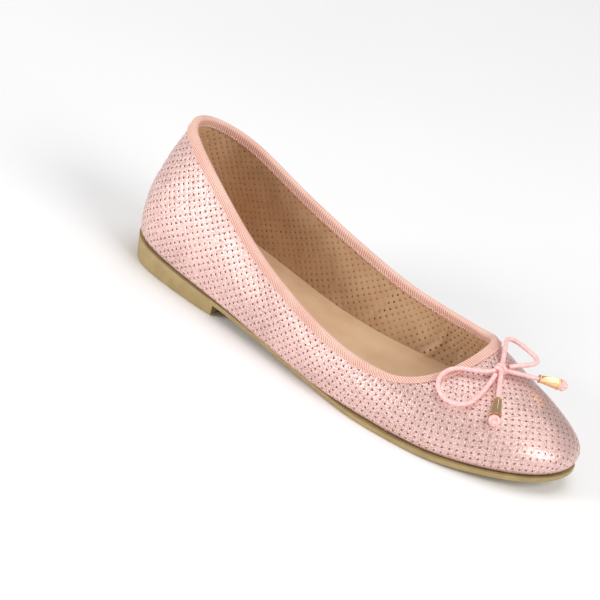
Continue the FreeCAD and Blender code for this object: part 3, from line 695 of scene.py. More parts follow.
def flat_at(turn, share):
    """Flat point of a place, from the coarse grid."""
    column = turn * COARSE
    row = (share - low_share) / (1 - low_share) * (COARSE_ROWS - 1)
    i = np.minimum(column.astype(int), len(coarse_turns) - 2)
    j = np.clip(row.astype(int), 0, COARSE_ROWS - 2)
    a, b = (column - i)[:, None], (row - j)[:, None]
    table = flat.reshape(len(coarse_turns), COARSE_ROWS, 2)
    return ((1 - a) * (1 - b) * table[i, j] + a * (1 - b) * table[i + 1, j]
            + (1 - a) * b * table[i, j + 1] + a * b * table[i + 1, j + 1])


upper_edge = 1 - EDGE_DROP / top_length(edge_turns)
low_edge = np.full_like(edge_turns, low_share)
seam_top = upper_edge[0]
seam = low_share + (seam_top - low_share) * side_shares
border_places = np.concatenate([
    np.c_[edge_turns, low_edge], np.c_[np.full(len(seam), float(TURNS)), seam],
    np.c_[edge_turns, upper_edge][::-1], np.c_[np.zeros(len(seam)), seam[::-1]]])
border = flat_at(border_places[:, 0], border_places[:, 1])
seeds = np.concatenate([border, rims, between])
count = len(border)
fixed = [(i, (i + 1) % count) for i in range(count)]
fixed += [(count + h * SIDES + k, count + h * SIDES + (k + 1) % SIDES)
          for h in range(len(holes)) for k in range(SIDES)]
cut = delaunay_2d_cdt([Vector(point) for point in seeds], fixed, [], 1, 1e-7)
cut_points = np.array([tuple(point) for point in cut[0]])
cut_faces = np.array([face for face in cut[2] if len(face) == 3])
middle = cut_points[cut_faces].mean(1)
to_lattice = np.array(((1, -1), (1, 1))) * math.sqrt(0.5) / PITCH
hole_finder = np.round(middle @ to_lattice).astype(int)
nearest = hole_finder @ np.array(((1, 1), (-1, 1))) * math.sqrt(0.5) * PITCH
in_hole = np.linalg.norm(middle - nearest, axis=1) < HOLE * DIMPLE_REACH * 0.9
kept = set(map(tuple, np.round(holes @ to_lattice).astype(int)))
in_hole &= np.array([tuple(place) in kept for place in hole_finder])
cut_places, strayed = unflatten(cut_points)
for index, ids in enumerate(cut[3]):
    if len(ids) and ids[0] < count:
        cut_places[index] = border_places[ids[0]]
found_at = {seed: index for index, ids in enumerate(cut[3]) for seed in ids}
sheet_faces = cut_faces[~in_hole]
print("triangles of the sheet:", len(sheet_faces), "in holes:", in_hole.sum(),
      "strayed at most %.2f mm" % strayed.max())

# %% [markdown]
# ## Upper and lining
# Both are cut from the same punched pattern. The upper shows its outer face and the lining its inner
# face, and each has its own thickness, a back and cut edges, so that each is a closed sheet. Real
# leather never lies perfectly on the last, so slow waves of a fifth of a millimetre run through it.

# %% Depth of the layers under the skin
UPPER_THICKNESS, LINING_THICKNESS, GLUE = 1.0, 0.6, 0.12
STIFFENER_EDGE, STIFFENER = 0.3, 0.8


def smooth(value, low, high):
    share = np.clip((value - low) / (high - low), 0, 1)
    return share * share * (3 - 2 * share)


# Reach to each side in turns, width of the fade there, and top edge up the wall.
COUNTER, TOE_PUFF = (3.25, 0.9, 1.8), (2.5, 0.7, 1.6)


def stiffener_body(distance, climb, reach, fade, top):
    return ((1 - smooth(distance, reach - fade, reach)) * smooth(climb, 0.5, 1.1)
            * (1 - smooth(climb, top - 0.3, top)))


def lining_depth(turn, length):
    """Depth of the lining's outer face: it lies on the counter and the toe puff."""
    cut_edge = top_length(turn) - EDGE_DROP
    climb = np.where(length < BEND_LENGTH, length / BEND_LENGTH,
                     1 + (length - BEND_LENGTH) / (cut_edge - BEND_LENGTH))
    from_back = np.abs((turn + TURNS / 2) % TURNS - TURNS / 2)
    body = stiffener_body(from_back, climb, *COUNTER)
    body = body + stiffener_body(np.abs(turn - TURNS / 2), climb, *TOE_PUFF)
    return UPPER_THICKNESS + 2 * GLUE + STIFFENER_EDGE + STIFFENER * body


# Each wave: its pace round the shoe and up the wall, where it starts, and its share of the height.
WAVES = ((5.1, 0.21, 0.0, 1.0), (8.3, -0.17, 1.3, 1.0), (13.7, 0.35, 2.1, 0.6))


def waves(turn, length, height):
    """Slow unevenness of lasted leather, gone at both edges of the sheet."""
    top = top_length(turn)
    fade = smooth(length, BEND_LENGTH, BEND_LENGTH + 8) * smooth(top - length, 5, 12)
    pattern = sum(high * np.sin(across * turn + along * length + start)
                  for across, along, start, high in WAVES)
    return height * fade * pattern / 2.6


# %% Folds of the lining, where the shoe has bent behind the ball of the foot
# Each fold: its turns and its lengths from top to bottom, then how far it stands into the shoe.
FOLDS = [((13.3, 13.5, 13.8, 13.85), (43, 33, 17, 12), 1.0),
         ((12.35, 12.9, 13.2, 13.3), (42, 23, 12, 5), 1.0),
         ((12.45, 12.8), (25, 12), 0.6)]
TURN_LENGTH, FOLD_WIDTH, FOLD_END = 36.0, 1.9, 5.0


def folds(turn, length):
    """Height of the folds: a soft ridge with a shallow hollow in front of it."""
    total = np.zeros_like(turn)
    for turns, lengths, height in FOLDS:
        across = (turn - np.interp(length, lengths[::-1], turns[::-1])) * TURN_LENGTH / FOLD_WIDTH
        fade = (smooth(length, lengths[-1], lengths[-1] + FOLD_END)
                * (1 - smooth(length, lengths[0] - FOLD_END, lengths[0])))
        total += height * fade * (np.exp(-across ** 2) - 0.4 * np.exp(-(across - 1.7) ** 2))
    return total


# %% Punched sheets
def hole_rings(radius):
    places, _ = unflatten((holes[:, None, :] + corners * radius).reshape(-1, 2))
    return places


rim_places = hole_rings(HOLE)
floor_places = hole_rings(HOLE * 0.85)
plain = delaunay_2d_cdt([Vector(p) for p in np.concatenate([border, between[::2]])],
                        [(i, (i + 1) % count) for i in range(count)], [], 1, 1e-7)
plain_seat = {seed: index for index, ids in enumerate(plain[3]) for seed in ids}
plain_places, _ = unflatten(np.array([tuple(p) for p in plain[0]]))
for seed in range(count):
    plain_places[plain_seat[seed]] = border_places[seed]


def at_depth(places, depth):
    length = places[:, 1] * top_length(places[:, 0])
    return skin_at(places[:, 0], length, depth(places[:, 0], length))[0]


def punched_sheet(name, front, dimple, floor, back_depth, inner_side):
    """Closed sheet with recessed holes: front face, dimpled rims, hole walls, floors and back."""
    parts = [at_depth(cut_places, front), at_depth(rim_places, dimple),
             at_depth(floor_places, floor), at_depth(plain_places, back_depth)]
    starts = np.cumsum([0] + [len(part) for part in parts])
    faces = [tuple(face) for face in sheet_faces]
    slots = [0] * len(faces)
    for h in range(len(holes)):
        ring = [found_at[count + h * SIDES + k] for k in range(SIDES)]
        rim = [starts[1] + h * SIDES + k for k in range(SIDES)]
        base = [starts[2] + h * SIDES + k for k in range(SIDES)]
        for k in range(SIDES):
            after = (k + 1) % SIDES
            faces.append((ring[k], ring[after], rim[after], rim[k]))
            faces.append((rim[k], rim[after], base[after], base[k]))
        faces.append(tuple(base))
        # Walls and floors of the holes take the second finish, which is painted shade.
        slots += [0, 1] * SIDES + [1]
    for face in plain[2]:
        faces.append(tuple(starts[3] + corner for corner in reversed(face)))
    edge = [found_at[seed] for seed in range(count)]
    behind = [starts[3] + plain_seat[seed] for seed in range(count)]
    for i in range(count):
        j = (i + 1) % count
        faces.append((edge[j], edge[i], behind[i], behind[j]))
    slots += [0] * (len(faces) - len(slots))
    if inner_side != flat_is_mirrored:
        faces = [face[::-1] for face in faces]
    return new_piece(name, np.concatenate(parts), faces, slots)


a, b, c = (read(SKIN, cut_places[sheet_faces[:, k], 0], cut_places[sheet_faces[:, k], 1])
           for k in range(3))
facing = (np.cross(b - a, c - a) * read(OUT, *cut_places[sheet_faces[:, 0]].T)).sum(1)
flat_is_mirrored = bool(np.median(facing) < 0)
print("pattern mirrored:", flat_is_mirrored)

# %% Upper and lining: depths of the face, the dimples, the floors of the holes, and the back
UPPER_WAVES, LINING_WAVES = 0.2, 0.22
UPPER_DIMPLE, LINING_DIMPLE = 0.04, 0.05
UPPER_FLOOR, LINING_FLOOR = 0.8, 0.08
LEATHER_ANGLE = 38
upper = punched_sheet(
    "upper_leather", lambda t, s: -waves(t, s, UPPER_WAVES),
    lambda t, s: UPPER_DIMPLE - waves(t, s, UPPER_WAVES),
    lambda t, s: UPPER_FLOOR, lambda t, s: UPPER_THICKNESS, False)


def lining_face(turn, length):
    """Depth of the lining's visible face."""
    return (lining_depth(turn, length) + LINING_THICKNESS + waves(turn, length, LINING_WAVES)
            + folds(turn, length))


lining = punched_sheet(
    "lining_leather",
    lining_face, lambda t, s: lining_face(t, s) - LINING_DIMPLE,
    lambda t, s: lining_depth(t, s) + LINING_FLOOR, lining_depth, True)
# The upper's second finish is painted shade on the walls and floors of its holes.
settle(upper, "foil_leather", "upper", inner=["punched_edge"], angle=LEATHER_ANGLE)
# The lining's second finish is painted shade on the walls and floors of its holes.
settle(lining, "lining_skin", "lining", inner=["lining_hole"], angle=LEATHER_ANGLE)
print("upper faces:", len(upper.data.polygons), "lining faces:", len(lining.data.polygons))

# %% [markdown]
# ## Ribbed ribbon
# A grosgrain ribbon is folded over the topline. Its ribs stand square to the edge, 1.2 mm apart, so
# the mesh has six columns of points for each rib, and the ribs fade where the fold is pulled tight.

# %% Ribbon over the topline
RIB, RIB_COLUMNS = 1.2, 6
RIB_HEIGHT = 0.13
LEG, WALL = 4.8, 0.6
STACK = UPPER_THICKNESS + 2 * GLUE + STIFFENER_EDGE + LINING_THICKNESS
topline = read(SKIN, table_turns, np.ones_like(table_turns))
topline_run = run_along(topline)
ribs = round(topline_run[-1] / RIB)
rib_steps = np.arange(ribs * RIB_COLUMNS)
rib_turns = np.interp(rib_steps / RIB_COLUMNS * topline_run[-1] / ribs, topline_run, table_turns)
rib_wave = np.abs(np.sin(math.pi * rib_steps / RIB_COLUMNS)) ** 0.7


# Each point of a leg: drop below the topline, lift off the leather, and strength of the ribs.
LEG_POINTS = ((LEG, 0.05, 0), (LEG, 0.4, 0.3), (LEG - 0.25, WALL, 1),
              (3.6, WALL, 1), (2.4, WALL, 1), (1.4, WALL, 0.9))


def ribbon_profile(turn):
    """Outer line of the folded ribbon and how strongly the ribs stand at each of its points."""
    top = top_length(turn)
    fold = top - EDGE_DROP
    lines, strengths = [], []
    for drop, lift, strength in LEG_POINTS:
        lines.append(skin_at(turn, top - drop, -GLUE - lift)[0])
        strengths.append(strength)
    edge, normal = skin_at(turn, fold)
    rise = unit(read(SKIN, turn, np.ones_like(turn)) - edge)
    middle = edge - normal * 0.5 * STACK
    for angle in np.linspace(0.0, math.pi, 9):
        side = normal * math.cos(angle) * (0.5 * STACK + GLUE + WALL)
        lines.append(middle + side + rise * math.sin(angle) * (EDGE_DROP + 0.5 * WALL))
        strengths.append(0.25 + 0.6 * abs(math.cos(angle)))
    for drop, lift, strength in reversed(LEG_POINTS):
        lines.append(skin_at(turn, top - drop, STACK + GLUE + lift)[0])
        strengths.append(strength)
    inside = [skin_at(turn, fold, STACK + GLUE)[0], middle + rise * (EDGE_DROP - 0.5 * WALL),
              skin_at(turn, fold, -GLUE)[0]]
    return np.stack(lines + inside, 1), np.array(strengths + [0] * len(inside), float)


def outward_of(profile):
    """Way out of a closed profile at each of its points."""
    along = np.roll(profile, -1, 0) - np.roll(profile, 1, 0)
    up = np.roll(profile, -1, 1) - np.roll(profile, 1, 1)
    return unit(np.cross(along, up))


profile, strengths = ribbon_profile(rib_turns)
out_way = outward_of(profile)
if (out_way[:, 3] * read(OUT, rib_turns, np.ones_like(rib_turns))).sum(1).mean() < 0:
    out_way = -out_way
ribbed = profile + out_way * (strengths[None, :] * (rib_wave[:, None] - 0.6) * RIB_HEIGHT)[..., None]
columns, rows = ribbed.shape[:2]
wrap = [(i * rows + j, (i + 1) % columns * rows + j, (i + 1) % columns * rows + (j + 1) % rows,
         i * rows + (j + 1) % rows) for i in range(columns) for j in range(rows)]


def face_out(points, faces, ways):
    """The faces, turned round if their normals disagree with the ways out."""
    quad = np.array([face[:3] for face in faces])
    a, b, c = (points[quad[:, k]] for k in range(3))
    agree = (np.cross(b - a, c - a) * ways[quad[:, 0]]).sum()
    return faces if agree > 0 else [face[::-1] for face in faces]


flat_points, flat_ways = ribbed.reshape(-1, 3), out_way.reshape(-1, 3)
ribbon = new_piece("ribbon_binding", flat_points, face_out(flat_points, wrap, flat_ways))
# How deep each point lies in the grooves, which the ribbon's finish turns into painted shade.
groove_shade = ribbon.data.attributes.new("groove_shade", "FLOAT", "POINT")
groove_shade.data.foreach_set("value", (strengths[None, :] * (1 - rib_wave[:, None])).ravel())
settle(ribbon, "ribbed_ribbon", "topline_binding")
print("ribs:", ribs, "over", round(topline_run[-1]), "mm")

# %% [markdown]
# ## Stitches
# A stitch is a short length of thread that dips into the leather at both ends. One low stitch is
# modelled as four rings of six points and copied along each seam.

# %% Rows of stitches
RING = np.arange(6) * math.pi / 3
THREAD = 0.34
# Each ring of a stitch: its place along it, its swell, and its lift off the leather.
RINGS = ((-0.5, 0.35, -0.5), (-0.3, 1.0, 0.3), (0.3, 1.0, 0.3), (0.5, 0.35, -0.5))


def stitch_row(name, middles, ways, normals, long, thick=THREAD):
    """Closed stitches at the given middles, each lying along its way on its surface."""
    ways = unit(ways)
    sides = np.cross(ways, normals)
    points, faces = [], []
    for along, swell, lift in RINGS:
        centre = middles + ways * long * along + normals * thick * lift
        for angle in RING:
            points.append(centre + (sides * math.cos(angle) + normals * math.sin(angle))
                          * 0.5 * thick * swell)
    points = np.stack(points, 1)
    for s in range(len(middles)):
        base = s * 24
        for ring in range(3):
            for k in range(6):
                a, b = base + ring * 6 + k, base + ring * 6 + (k + 1) % 6
                faces.append((a, b, b + 6, a + 6))
        faces.append(tuple(base + k for k in range(5, -1, -1)))
        faces.append(tuple(base + 18 + k for k in range(6)))
    centres = np.repeat(points.mean(1), 24, 0)
    flat_stitches = points.reshape(-1, 3)
    piece = new_piece(name, flat_stitches, face_out(flat_stitches, faces, flat_stitches - centres))
    settle(piece, "sewing_thread")
    print(name, "has", len(middles), "stitches")


# %% Seam and zigzag of the ribbon
def topline_stitches(name, step, drop, depth, long, slant):
    """Stitches round the mouth; slant turns them up and down in turn, as a zigzag."""
    number = int(topline_run[-1] / step)
    turns = np.interp((np.arange(number) + 0.5) * topline_run[-1] / number, topline_run, table_turns)
    ahead, _ = skin_at(turns + 0.01, top_length(turns + 0.01) - drop, depth)
    middles, normals = skin_at(turns, top_length(turns) - drop, depth)
    ways = unit(ahead - middles)
    lean = slant * (1 - 2 * (np.arange(len(turns)) % 2))[:, None]
    ways = ways + np.cross(normals, ways) * lean
    stitch_row(name, middles, ways, normals * (1 if depth < 0 else -1), long)


topline_stitches("ribbon_seam", 2.3, LEG - 0.55, -GLUE - WALL - 0.06, 1.7, 0.0)
topline_stitches("ribbon_zigzag", 1.5, LEG - 0.9, STACK + GLUE + WALL + 0.06, 1.9, 0.9)

# %% Strip over the back seam
STRIP_FOOT, STRIP_HEAD, STRIP_THICKNESS = 12.0, 7.0, 0.8
ARCH = 5.0
strip_low, strip_high = 0.5 * BEND_LENGTH, TOP[0] - LEG - 2 * GLUE
back_step = 0.1
back_pace = np.linalg.norm(read(SKIN, np.array(back_step), np.array(0.6))
                           - read(SKIN, np.array(0.0), np.array(0.6))) / back_step


def strip_half(length):
    """Half width of the strip, which narrows upwards to an arched head."""
    share = (length - strip_low) / (strip_high - strip_low)
    half = 0.5 * (STRIP_FOOT + (STRIP_HEAD - STRIP_FOOT) * share)
    arch = np.clip((length - strip_high + ARCH) / ARCH, 0, 1)
    return half * np.sqrt(1 - 0.93 * arch ** 2.5)


def strip_points(sides, lengths, lift):
    """Points of the strip: share of the half width, running length, and lift off the skin."""
    turn = sides * strip_half(lengths) / back_pace
    return skin_at(turn % TURNS, lengths, -lift)


strip_rows = np.linspace(strip_low, strip_high, 70)
strip_sides = np.concatenate([[-1, -1], np.linspace(-0.96, 0.96, 15), [1, 1]])
strip_lifts = np.concatenate([[GLUE, 0.5 * STRIP_THICKNESS], np.full(15, GLUE + STRIP_THICKNESS),
                              [0.5 * STRIP_THICKNESS, GLUE]])
side_grid, row_grid = np.meshgrid(strip_sides, strip_rows, indexing="ij")
face_points, face_ways = strip_points(side_grid, row_grid, strip_lifts[:, None])
strip_faces = grid_faces(len(strip_sides), len(strip_rows))
n = len(strip_rows)
last = (len(strip_sides) - 1) * n
strip_faces += [(last + j, j, j + 1, last + j + 1) for j in range(n - 1)]
strip_faces += [tuple(i * n for i in range(len(strip_sides) - 1, -1, -1)),
                tuple(i * n + n - 1 for i in range(len(strip_sides)))]
flat_strip, flat_out = face_points.reshape(-1, 3), face_ways.reshape(-1, 3)
strip = new_piece("seam_strip", flat_strip, face_out(flat_strip, strip_faces, flat_out))
settle(strip, "strip_leather", "back_strip", angle=40)
print("strip is", round(strip_high - strip_low, 1), "mm long")

# %% Stitches down both sides of the strip
for side, word in ((-1, "lateral"), (1, "medial")):
    lengths = np.arange(strip_low + 3, strip_high - 1.5, 2.2)
    inset_share = side * (1 - 1.1 / strip_half(lengths))
    middles, normals = strip_points(inset_share, lengths, GLUE + STRIP_THICKNESS)
    ahead, _ = strip_points(inset_share, lengths + 0.2, GLUE + STRIP_THICKNESS)
    stitch_row("strip_seam_" + word, middles, ahead - middles, normals, 1.6)

# %% [markdown]
# ## Footbed
# The sock lining is thin smooth leather on a foam pad. It reaches the lining all round, its edge
# turns up a little where it meets the wall, and the pad has sunk under the foot. One helper fills an
# outline with an even grid of points, which the sock, the pad and the sole all use.

# %% Fill an outline
BOARD, FOAM, SOCK = 1.8, 2.5, 0.8
SOCK_TOP = STACK + GLUE + BOARD + FOAM + SOCK + 2 * GLUE


def to_outline(points, outline):
    """Distance of plan points from a closed outline."""
    best = np.full(len(points), 1e9)
    for a, b in zip(outline, np.roll(outline, -1, 0)):
        way = b - a
        share = np.clip(((points - a) @ way) / (way @ way), 0, 1)
        best = np.minimum(best, np.linalg.norm(points - a - share[:, None] * way, axis=1))
    return best


def inside_outline(points, outline):
    """True where a plan point is inside the outline, by counting crossings."""
    inside = np.zeros(len(points), bool)
    for (ax, ay), (bx, by) in zip(outline, np.roll(outline, -1, 0)):
        crosses = (ay > points[:, 1]) != (by > points[:, 1])
        with np.errstate(divide="ignore", invalid="ignore"):
            at = ax + (points[:, 1] - ay) * (bx - ax) / (by - ay)
        inside ^= crosses & (points[:, 0] < at)
    return inside


def filled(outline, spacing, extra=()):
    """Plan points and triangles inside a closed outline; the outline's own points come first."""
    low, high = outline.min(0), outline.max(0)
    x, y = np.meshgrid(np.arange(low[0], high[0], spacing), np.arange(low[1], high[1], spacing),
                       indexing="ij")
    grid = np.concatenate([np.c_[x.ravel(), y.ravel()], np.reshape(extra, (-1, 2))])
    grid = grid[inside_outline(grid, outline)]
    grid = grid[to_outline(grid, outline) > 0.45 * spacing]
    edges = [(i, (i + 1) % len(outline)) for i in range(len(outline))]
    made = delaunay_2d_cdt([Vector(point) for point in np.concatenate([outline, grid])],
                           edges, [], 1, 1e-7)
    places = np.zeros((len(made[0]), 2))
    order = {}
    for index, ids in enumerate(made[3]):
        order[index] = ids[0]
        places[ids[0]] = made[0][index]
    return places, [tuple(order[corner] for corner in face) for face in made[2]]


def lofted(top, top_faces, bottom, bottom_faces, rings):
    """Closed solid from a filled top, a filled bottom and rings between their edges, facing out."""
    count = len(rings[0])
    parts = [top, bottom] + rings[1:-1]
    starts = np.cumsum([0] + [len(part) for part in parts])
    faces = list(top_faces) + [tuple(starts[1] + k for k in reversed(face)) for face in bottom_faces]
    levels = [0] + [starts[2 + i] for i in range(len(rings) - 2)] + [starts[1]]
    for upper_start, lower_start in zip(levels, levels[1:]):
        for i in range(count):
            j = (i + 1) % count
            faces.append((upper_start + j, upper_start + i, lower_start + i, lower_start + j))
    points = np.concatenate(parts)
    a, b, c = points[list(faces[0])]
    return points, [face[::-1] for face in faces] if np.cross(b - a, c - a)[2] < 0 else faces


# %% Outline of the footbed: where its height meets the lining
edge_samples = np.arange(0, TURNS, 0.05)
climb_lengths = np.linspace(3, 18, 61)
turns2, lengths2 = np.meshgrid(edge_samples, climb_lengths, indexing="ij")
inner_wall, _ = skin_at(turns2, lengths2, lining_depth(turns2, lengths2) + LINING_THICKNESS)
above = inner_wall[..., 2] - seat(inner_wall[..., 0]) - (SOCK_TOP - 0.2)
reach = np.argmax(above > 0, axis=1)
line = np.arange(len(edge_samples))
footbed_edge = inner_wall[line, reach, :2]


DISH, DISH_SLOPE, CURL_REACH = 0.7, (4, 20), 1.6


def footbed_piece(name, inset, bottom, top, curl, finish, node):
    """Layer of the footbed inside the lining, dished under the foot."""
    centre = footbed_edge.mean(0)
    inward = np.roll(footbed_edge, -1, 0) - np.roll(footbed_edge, 1, 0)
    inward = unit(np.c_[inward[:, 1], -inward[:, 0]])
    inward *= np.sign(((centre - footbed_edge) * inward).sum(1).mean())
    outline = footbed_edge + inward * inset
    plan, faces = filled(outline, 2.0)
    away = to_outline(plan, footbed_edge)
    dish = -DISH * smooth(away, *DISH_SLOPE) + curl * np.exp(-(away / CURL_REACH) ** 2)
    high = np.c_[plan, seat(plan[:, 0]) + top + dish]
    low = np.c_[plan, seat(plan[:, 0]) + bottom + np.minimum(dish, 0)]
    edge = len(outline)
    points, faces = lofted(high, faces, low, faces, [high[:edge], low[:edge]])
    return settle(new_piece(name, points, faces), finish, node, angle=40)


footbed_piece("sock_leather_top", 0.05, SOCK_TOP - SOCK, SOCK_TOP, 0.5, "sock_leather", "sock_lining")
pad = footbed_piece("foam_pad", 1.2, SOCK_TOP - SOCK - FOAM + 0.2, SOCK_TOP - SOCK - 0.15, 0.0,
                    "foam", "sock_foam")
print("footbed outline points:", len(footbed_edge))

# %% Stitch line of the heel sock
HEEL_SOCK_END, SOCK_SEAM_INSET = 95, 4.2
HEEL_MIDDLE = np.array((60.0, -3.0))
heel_line = footbed_edge[footbed_edge[:, 0] < HEEL_SOCK_END]
sock_turns = edge_samples[footbed_edge[:, 0] < HEEL_SOCK_END]
sock_middles, sock_ways = [], []
for half in (sock_turns < TURNS / 2, sock_turns > TURNS / 2):
    part = heel_line[half]
    run = run_along(part)
    steps = np.arange(1.5, run[-1], 2.8)
    spots = np.stack([np.interp(steps, run, part[:, k]) for k in range(2)], 1)
    ways = np.stack([np.interp(steps + 0.5, run, part[:, k]) for k in range(2)], 1) - spots
    ways /= np.linalg.norm(ways, axis=1, keepdims=True) + 1e-9
    inward = np.c_[ways[:, 1], -ways[:, 0]]
    inward *= np.sign(((HEEL_MIDDLE - spots) * inward).sum(1))[:, None]
    sock_middles.append(spots + inward * SOCK_SEAM_INSET)
    sock_ways.append(ways)
spots, ways = np.concatenate(sock_middles), np.concatenate(sock_ways)
lying = np.c_[ways, np.zeros(len(ways))]
tops = np.c_[spots, seat(spots[:, 0]) + SOCK_TOP + 0.06]
stitch_row("sock_seam", tops, lying, np.tile(UP, (len(tops), 1)), 2.0, 0.32)

# %% [markdown]
# ## Unit sole
# The sole is one moulding of gum rubber. It stands half a millimetre out past the upper at the heel
# and forepart and tucks under at the waist. Its low heel has a raised rim round diagonal ribs, and a
# curved line crosses the forepart.

# %% Sole outlines
WELT, WAIST_TUCK, HEEL_INSET, HEEL_REACH, BOND = 0.6, 3.5, 2.3, 63.5, 0.25
WAIST_START, WAIST_END, BREAST_BLEND = (0.2, 0.4), (0.5, 0.66), 25
RISE_FROM, RISE_TO = -1.0, HEEL_HEIGHT + 4.0
BREAST_EDGE = 0.12


def waist_share(x):
    share = x / SOLE_LENGTH
    return smooth(share, *WAIST_START) * (1 - smooth(share, *WAIST_END))


def sole_inset(x):
    welt = WELT * (1 - smooth(x / SOLE_LENGTH, 0.4, 0.6))
    return WAIST_TUCK * waist_share(x) - welt * (1 - waist_share(x))


def ground_inset(x):
    return sole_inset(x) + (HEEL_INSET + WELT) * (1 - smooth(x, HEEL_REACH, HEEL_REACH + BREAST_BLEND))


feather_x = station(edge_samples)[:, 0]
breast_turns = []
for spread in (-BREAST_EDGE, BREAST_EDGE):
    for half in (slice(0, len(feather_x) // 2), slice(len(feather_x) // 2, None)):
        side_x, side_turn = feather_x[half], edge_samples[half]
        order = np.argsort(side_x)
        breast_turns.append(np.interp(HEEL_REACH + spread, side_x[order], side_turn[order]))
sole_turns = np.sort(np.concatenate([edge_samples, breast_turns]))
feather_line = station(sole_turns)[:, :2]
sole_out = outward(sole_turns)


def sole_plan(height, extra_inset=0.0):
    """Outline of the sole's wall at the given heights."""
    share = (height - RISE_FROM) / (RISE_TO - RISE_FROM)
    x = feather_line[:, 0]
    inset = ground_inset(x) * (1 - share) + sole_inset(x) * share + extra_inset
    return feather_line - sole_out * inset[:, None]


def sole_bottom(x):
    return np.where(x < HEEL_REACH, 0.0, np.maximum(seat(x) - SOLE_THICKNESS, 0.0))


# %% Tread under the heel and the forepart
ARC_CENTRE, ARC_RADIUS = 96.0, 66.0
RIB_PITCH, RIB_SLANT, HEEL_BAR = 3.6, 0.8, 40
HEEL_TREAD, ARC_TREAD = 0.9, 0.6


def tread(plan, outline):
    """How far the tread is sunk into the underside at each plan point."""
    x, y = plan[:, 0], plan[:, 1]
    away = to_outline(plan, outline)
    heel = smooth(away, 3.2, 3.9) * (1 - smooth(x, HEEL_REACH - 4.6, HEEL_REACH - 3.9))
    ribs = smooth(np.abs(((x + y * RIB_SLANT) / RIB_PITCH) % 1 - 0.5), 0.16, 0.26)
    bar = 1 - smooth(np.abs(x - HEEL_BAR - 0.012 * y ** 2), 1.3, 1.9)
    sunk = heel * HEEL_TREAD * ribs * (1 - bar)
    arc = 1 - smooth(np.abs(np.hypot(x - ARC_CENTRE, y) - ARC_RADIUS), 0.5, 1.0)
    return sunk + arc * smooth(away, 2.5, 3.5) * (x > ARC_CENTRE) * ARC_TREAD


# %% Upper and under faces of the sole
ROUND, TOP_INSET = 0.7, 0.35
edge_bottom = sole_bottom(feather_line[:, 0])
edge_top = seat(feather_line[:, 0]) - BOND
ground_plan = sole_plan(edge_bottom, ROUND)
top_plan = sole_plan(edge_top, TOP_INSET)
breast_rows = [(HEEL_REACH + spread, y) for spread in (-BREAST_EDGE, BREAST_EDGE)
               for y in np.arange(-32, 30, 1.0)]
fine_x, fine_y = np.meshgrid(np.arange(1, HEEL_REACH - 0.5, 0.6), np.arange(-30, 28, 0.6),
                             indexing="ij")
arc_radii, arc_angles = np.meshgrid(ARC_RADIUS + np.array((-1.5, -1, -0.5, 0, 0.5, 1, 1.5)),
                                    np.arange(-0.7, 0.7, 0.012), indexing="ij")
arc_rows = np.c_[(ARC_CENTRE + arc_radii * np.cos(arc_angles)).ravel(),
                 (arc_radii * np.sin(arc_angles)).ravel()]
tread_points = np.concatenate([np.c_[fine_x.ravel(), fine_y.ravel()], arc_rows, breast_rows])
under_plan, under_faces = filled(ground_plan, 1.5, tread_points)
over_plan, over_faces = filled(top_plan, 3.0)
under = np.c_[under_plan, sole_bottom(under_plan[:, 0]) + tread(under_plan, ground_plan)]
over = np.c_[over_plan, seat(over_plan[:, 0]) - BOND]
print("faces under:", len(under_faces), "and over:", len(over_faces))

# %% Wall of the sole: rings from its top edge down to the ground
edge_count = len(sole_turns)
LIP = 0.45
rings = [over[:edge_count]]
for drop, inset in ((0.12, 0.08), (LIP, 0.0)):
    rings.append(np.c_[sole_plan(edge_top - drop, inset), edge_top - drop])
for share in (0.3, 0.6):
    height = edge_top - LIP + (edge_bottom + ROUND - edge_top + LIP) * share
    rings.append(np.c_[sole_plan(height), height])
for angle in (0.0, 0.4, 0.8, 1.2):
    height = edge_bottom + ROUND * (1 - math.sin(angle))
    rings.append(np.c_[sole_plan(height, ROUND * (1 - math.cos(angle))), height])
rings.append(under[:edge_count])
sole = new_piece("unit_sole", *lofted(over, over_faces, under, under_faces, rings))
settle(sole, "gum_sole", "outsole", angle=42)
print("sole faces:", len(sole.data.polygons))

# %% [markdown]
# ## Bow
# The knot is two turns of the same cord round the crossing. Each tail passes through a six-sided
# metal bell and is stopped by an overhand knot, which bulges out of the bell's mouth.

# %% Knots
def frame_of(way, up=Vector((0, 0, 1))):
    """Rotation whose z axis lies along a way."""
    z = way.normalized()
    x = up.cross(z).normalized()
    return Matrix((x, z.cross(x), z)).transposed()


def as_mesh(curve):
    """The curve's mesh as a new object in its place, at the origin."""
    bpy.context.view_layer.update()
    name = curve.name
    mesh = bpy.data.meshes.new_from_object(curve.evaluated_get(bpy.context.evaluated_depsgraph_get()))
    bpy.data.objects.remove(curve)
    piece = bpy.data.objects.new(name, mesh)
    bpy.context.scene.collection.objects.link(piece)
    return piece


# %% Knot in the middle of the bow
WRAP, WRAP_TURNS, WRAP_STEP = 2.1 * MM, 2.2, 2.0 * MM
knot_axis = Vector((0.25, 1.0, 0.22))
knot_frame = frame_of(knot_axis)
wrap_points = []
for i in range(31):
    share = i / 30
    angle = 2 * math.pi * WRAP_TURNS * share + 0.6
    tuck = 1 - 0.55 * max(0.0, abs(2 * share - 1) - 0.75) / 0.25
    local = Vector((math.cos(angle) * WRAP * tuck, math.sin(angle) * WRAP * tuck,
                    (share - 0.5) * WRAP_STEP * WRAP_TURNS))
    wrap_points.append(KNOT + knot_frame @ local)
knot = as_mesh(cord_curve("bow_wraps", wrap_points, 8))
strands = [as_mesh(cord_curve(name + "_strand", [KNOT, KNOT + Vector(route[0]) * 0.6 * MM,
                                                 KNOT + Vector(route[0]) * MM], 4))
           for name, route in ROUTES.items()]
activate(knot)
for strand in strands:
    strand.select_set(True)
bpy.ops.object.join()
settle(knot, "bow_cord", "bow_knot")
print("knot faces:", len(knot.data.polygons))

# %% Knots at the ends of the cords

COIL, COIL_TURNS, COIL_RISE = 1.7 * MM, 1.25, 1.3 * MM
COIL_LEAN = Vector((0.42, -0.78, 0.45))


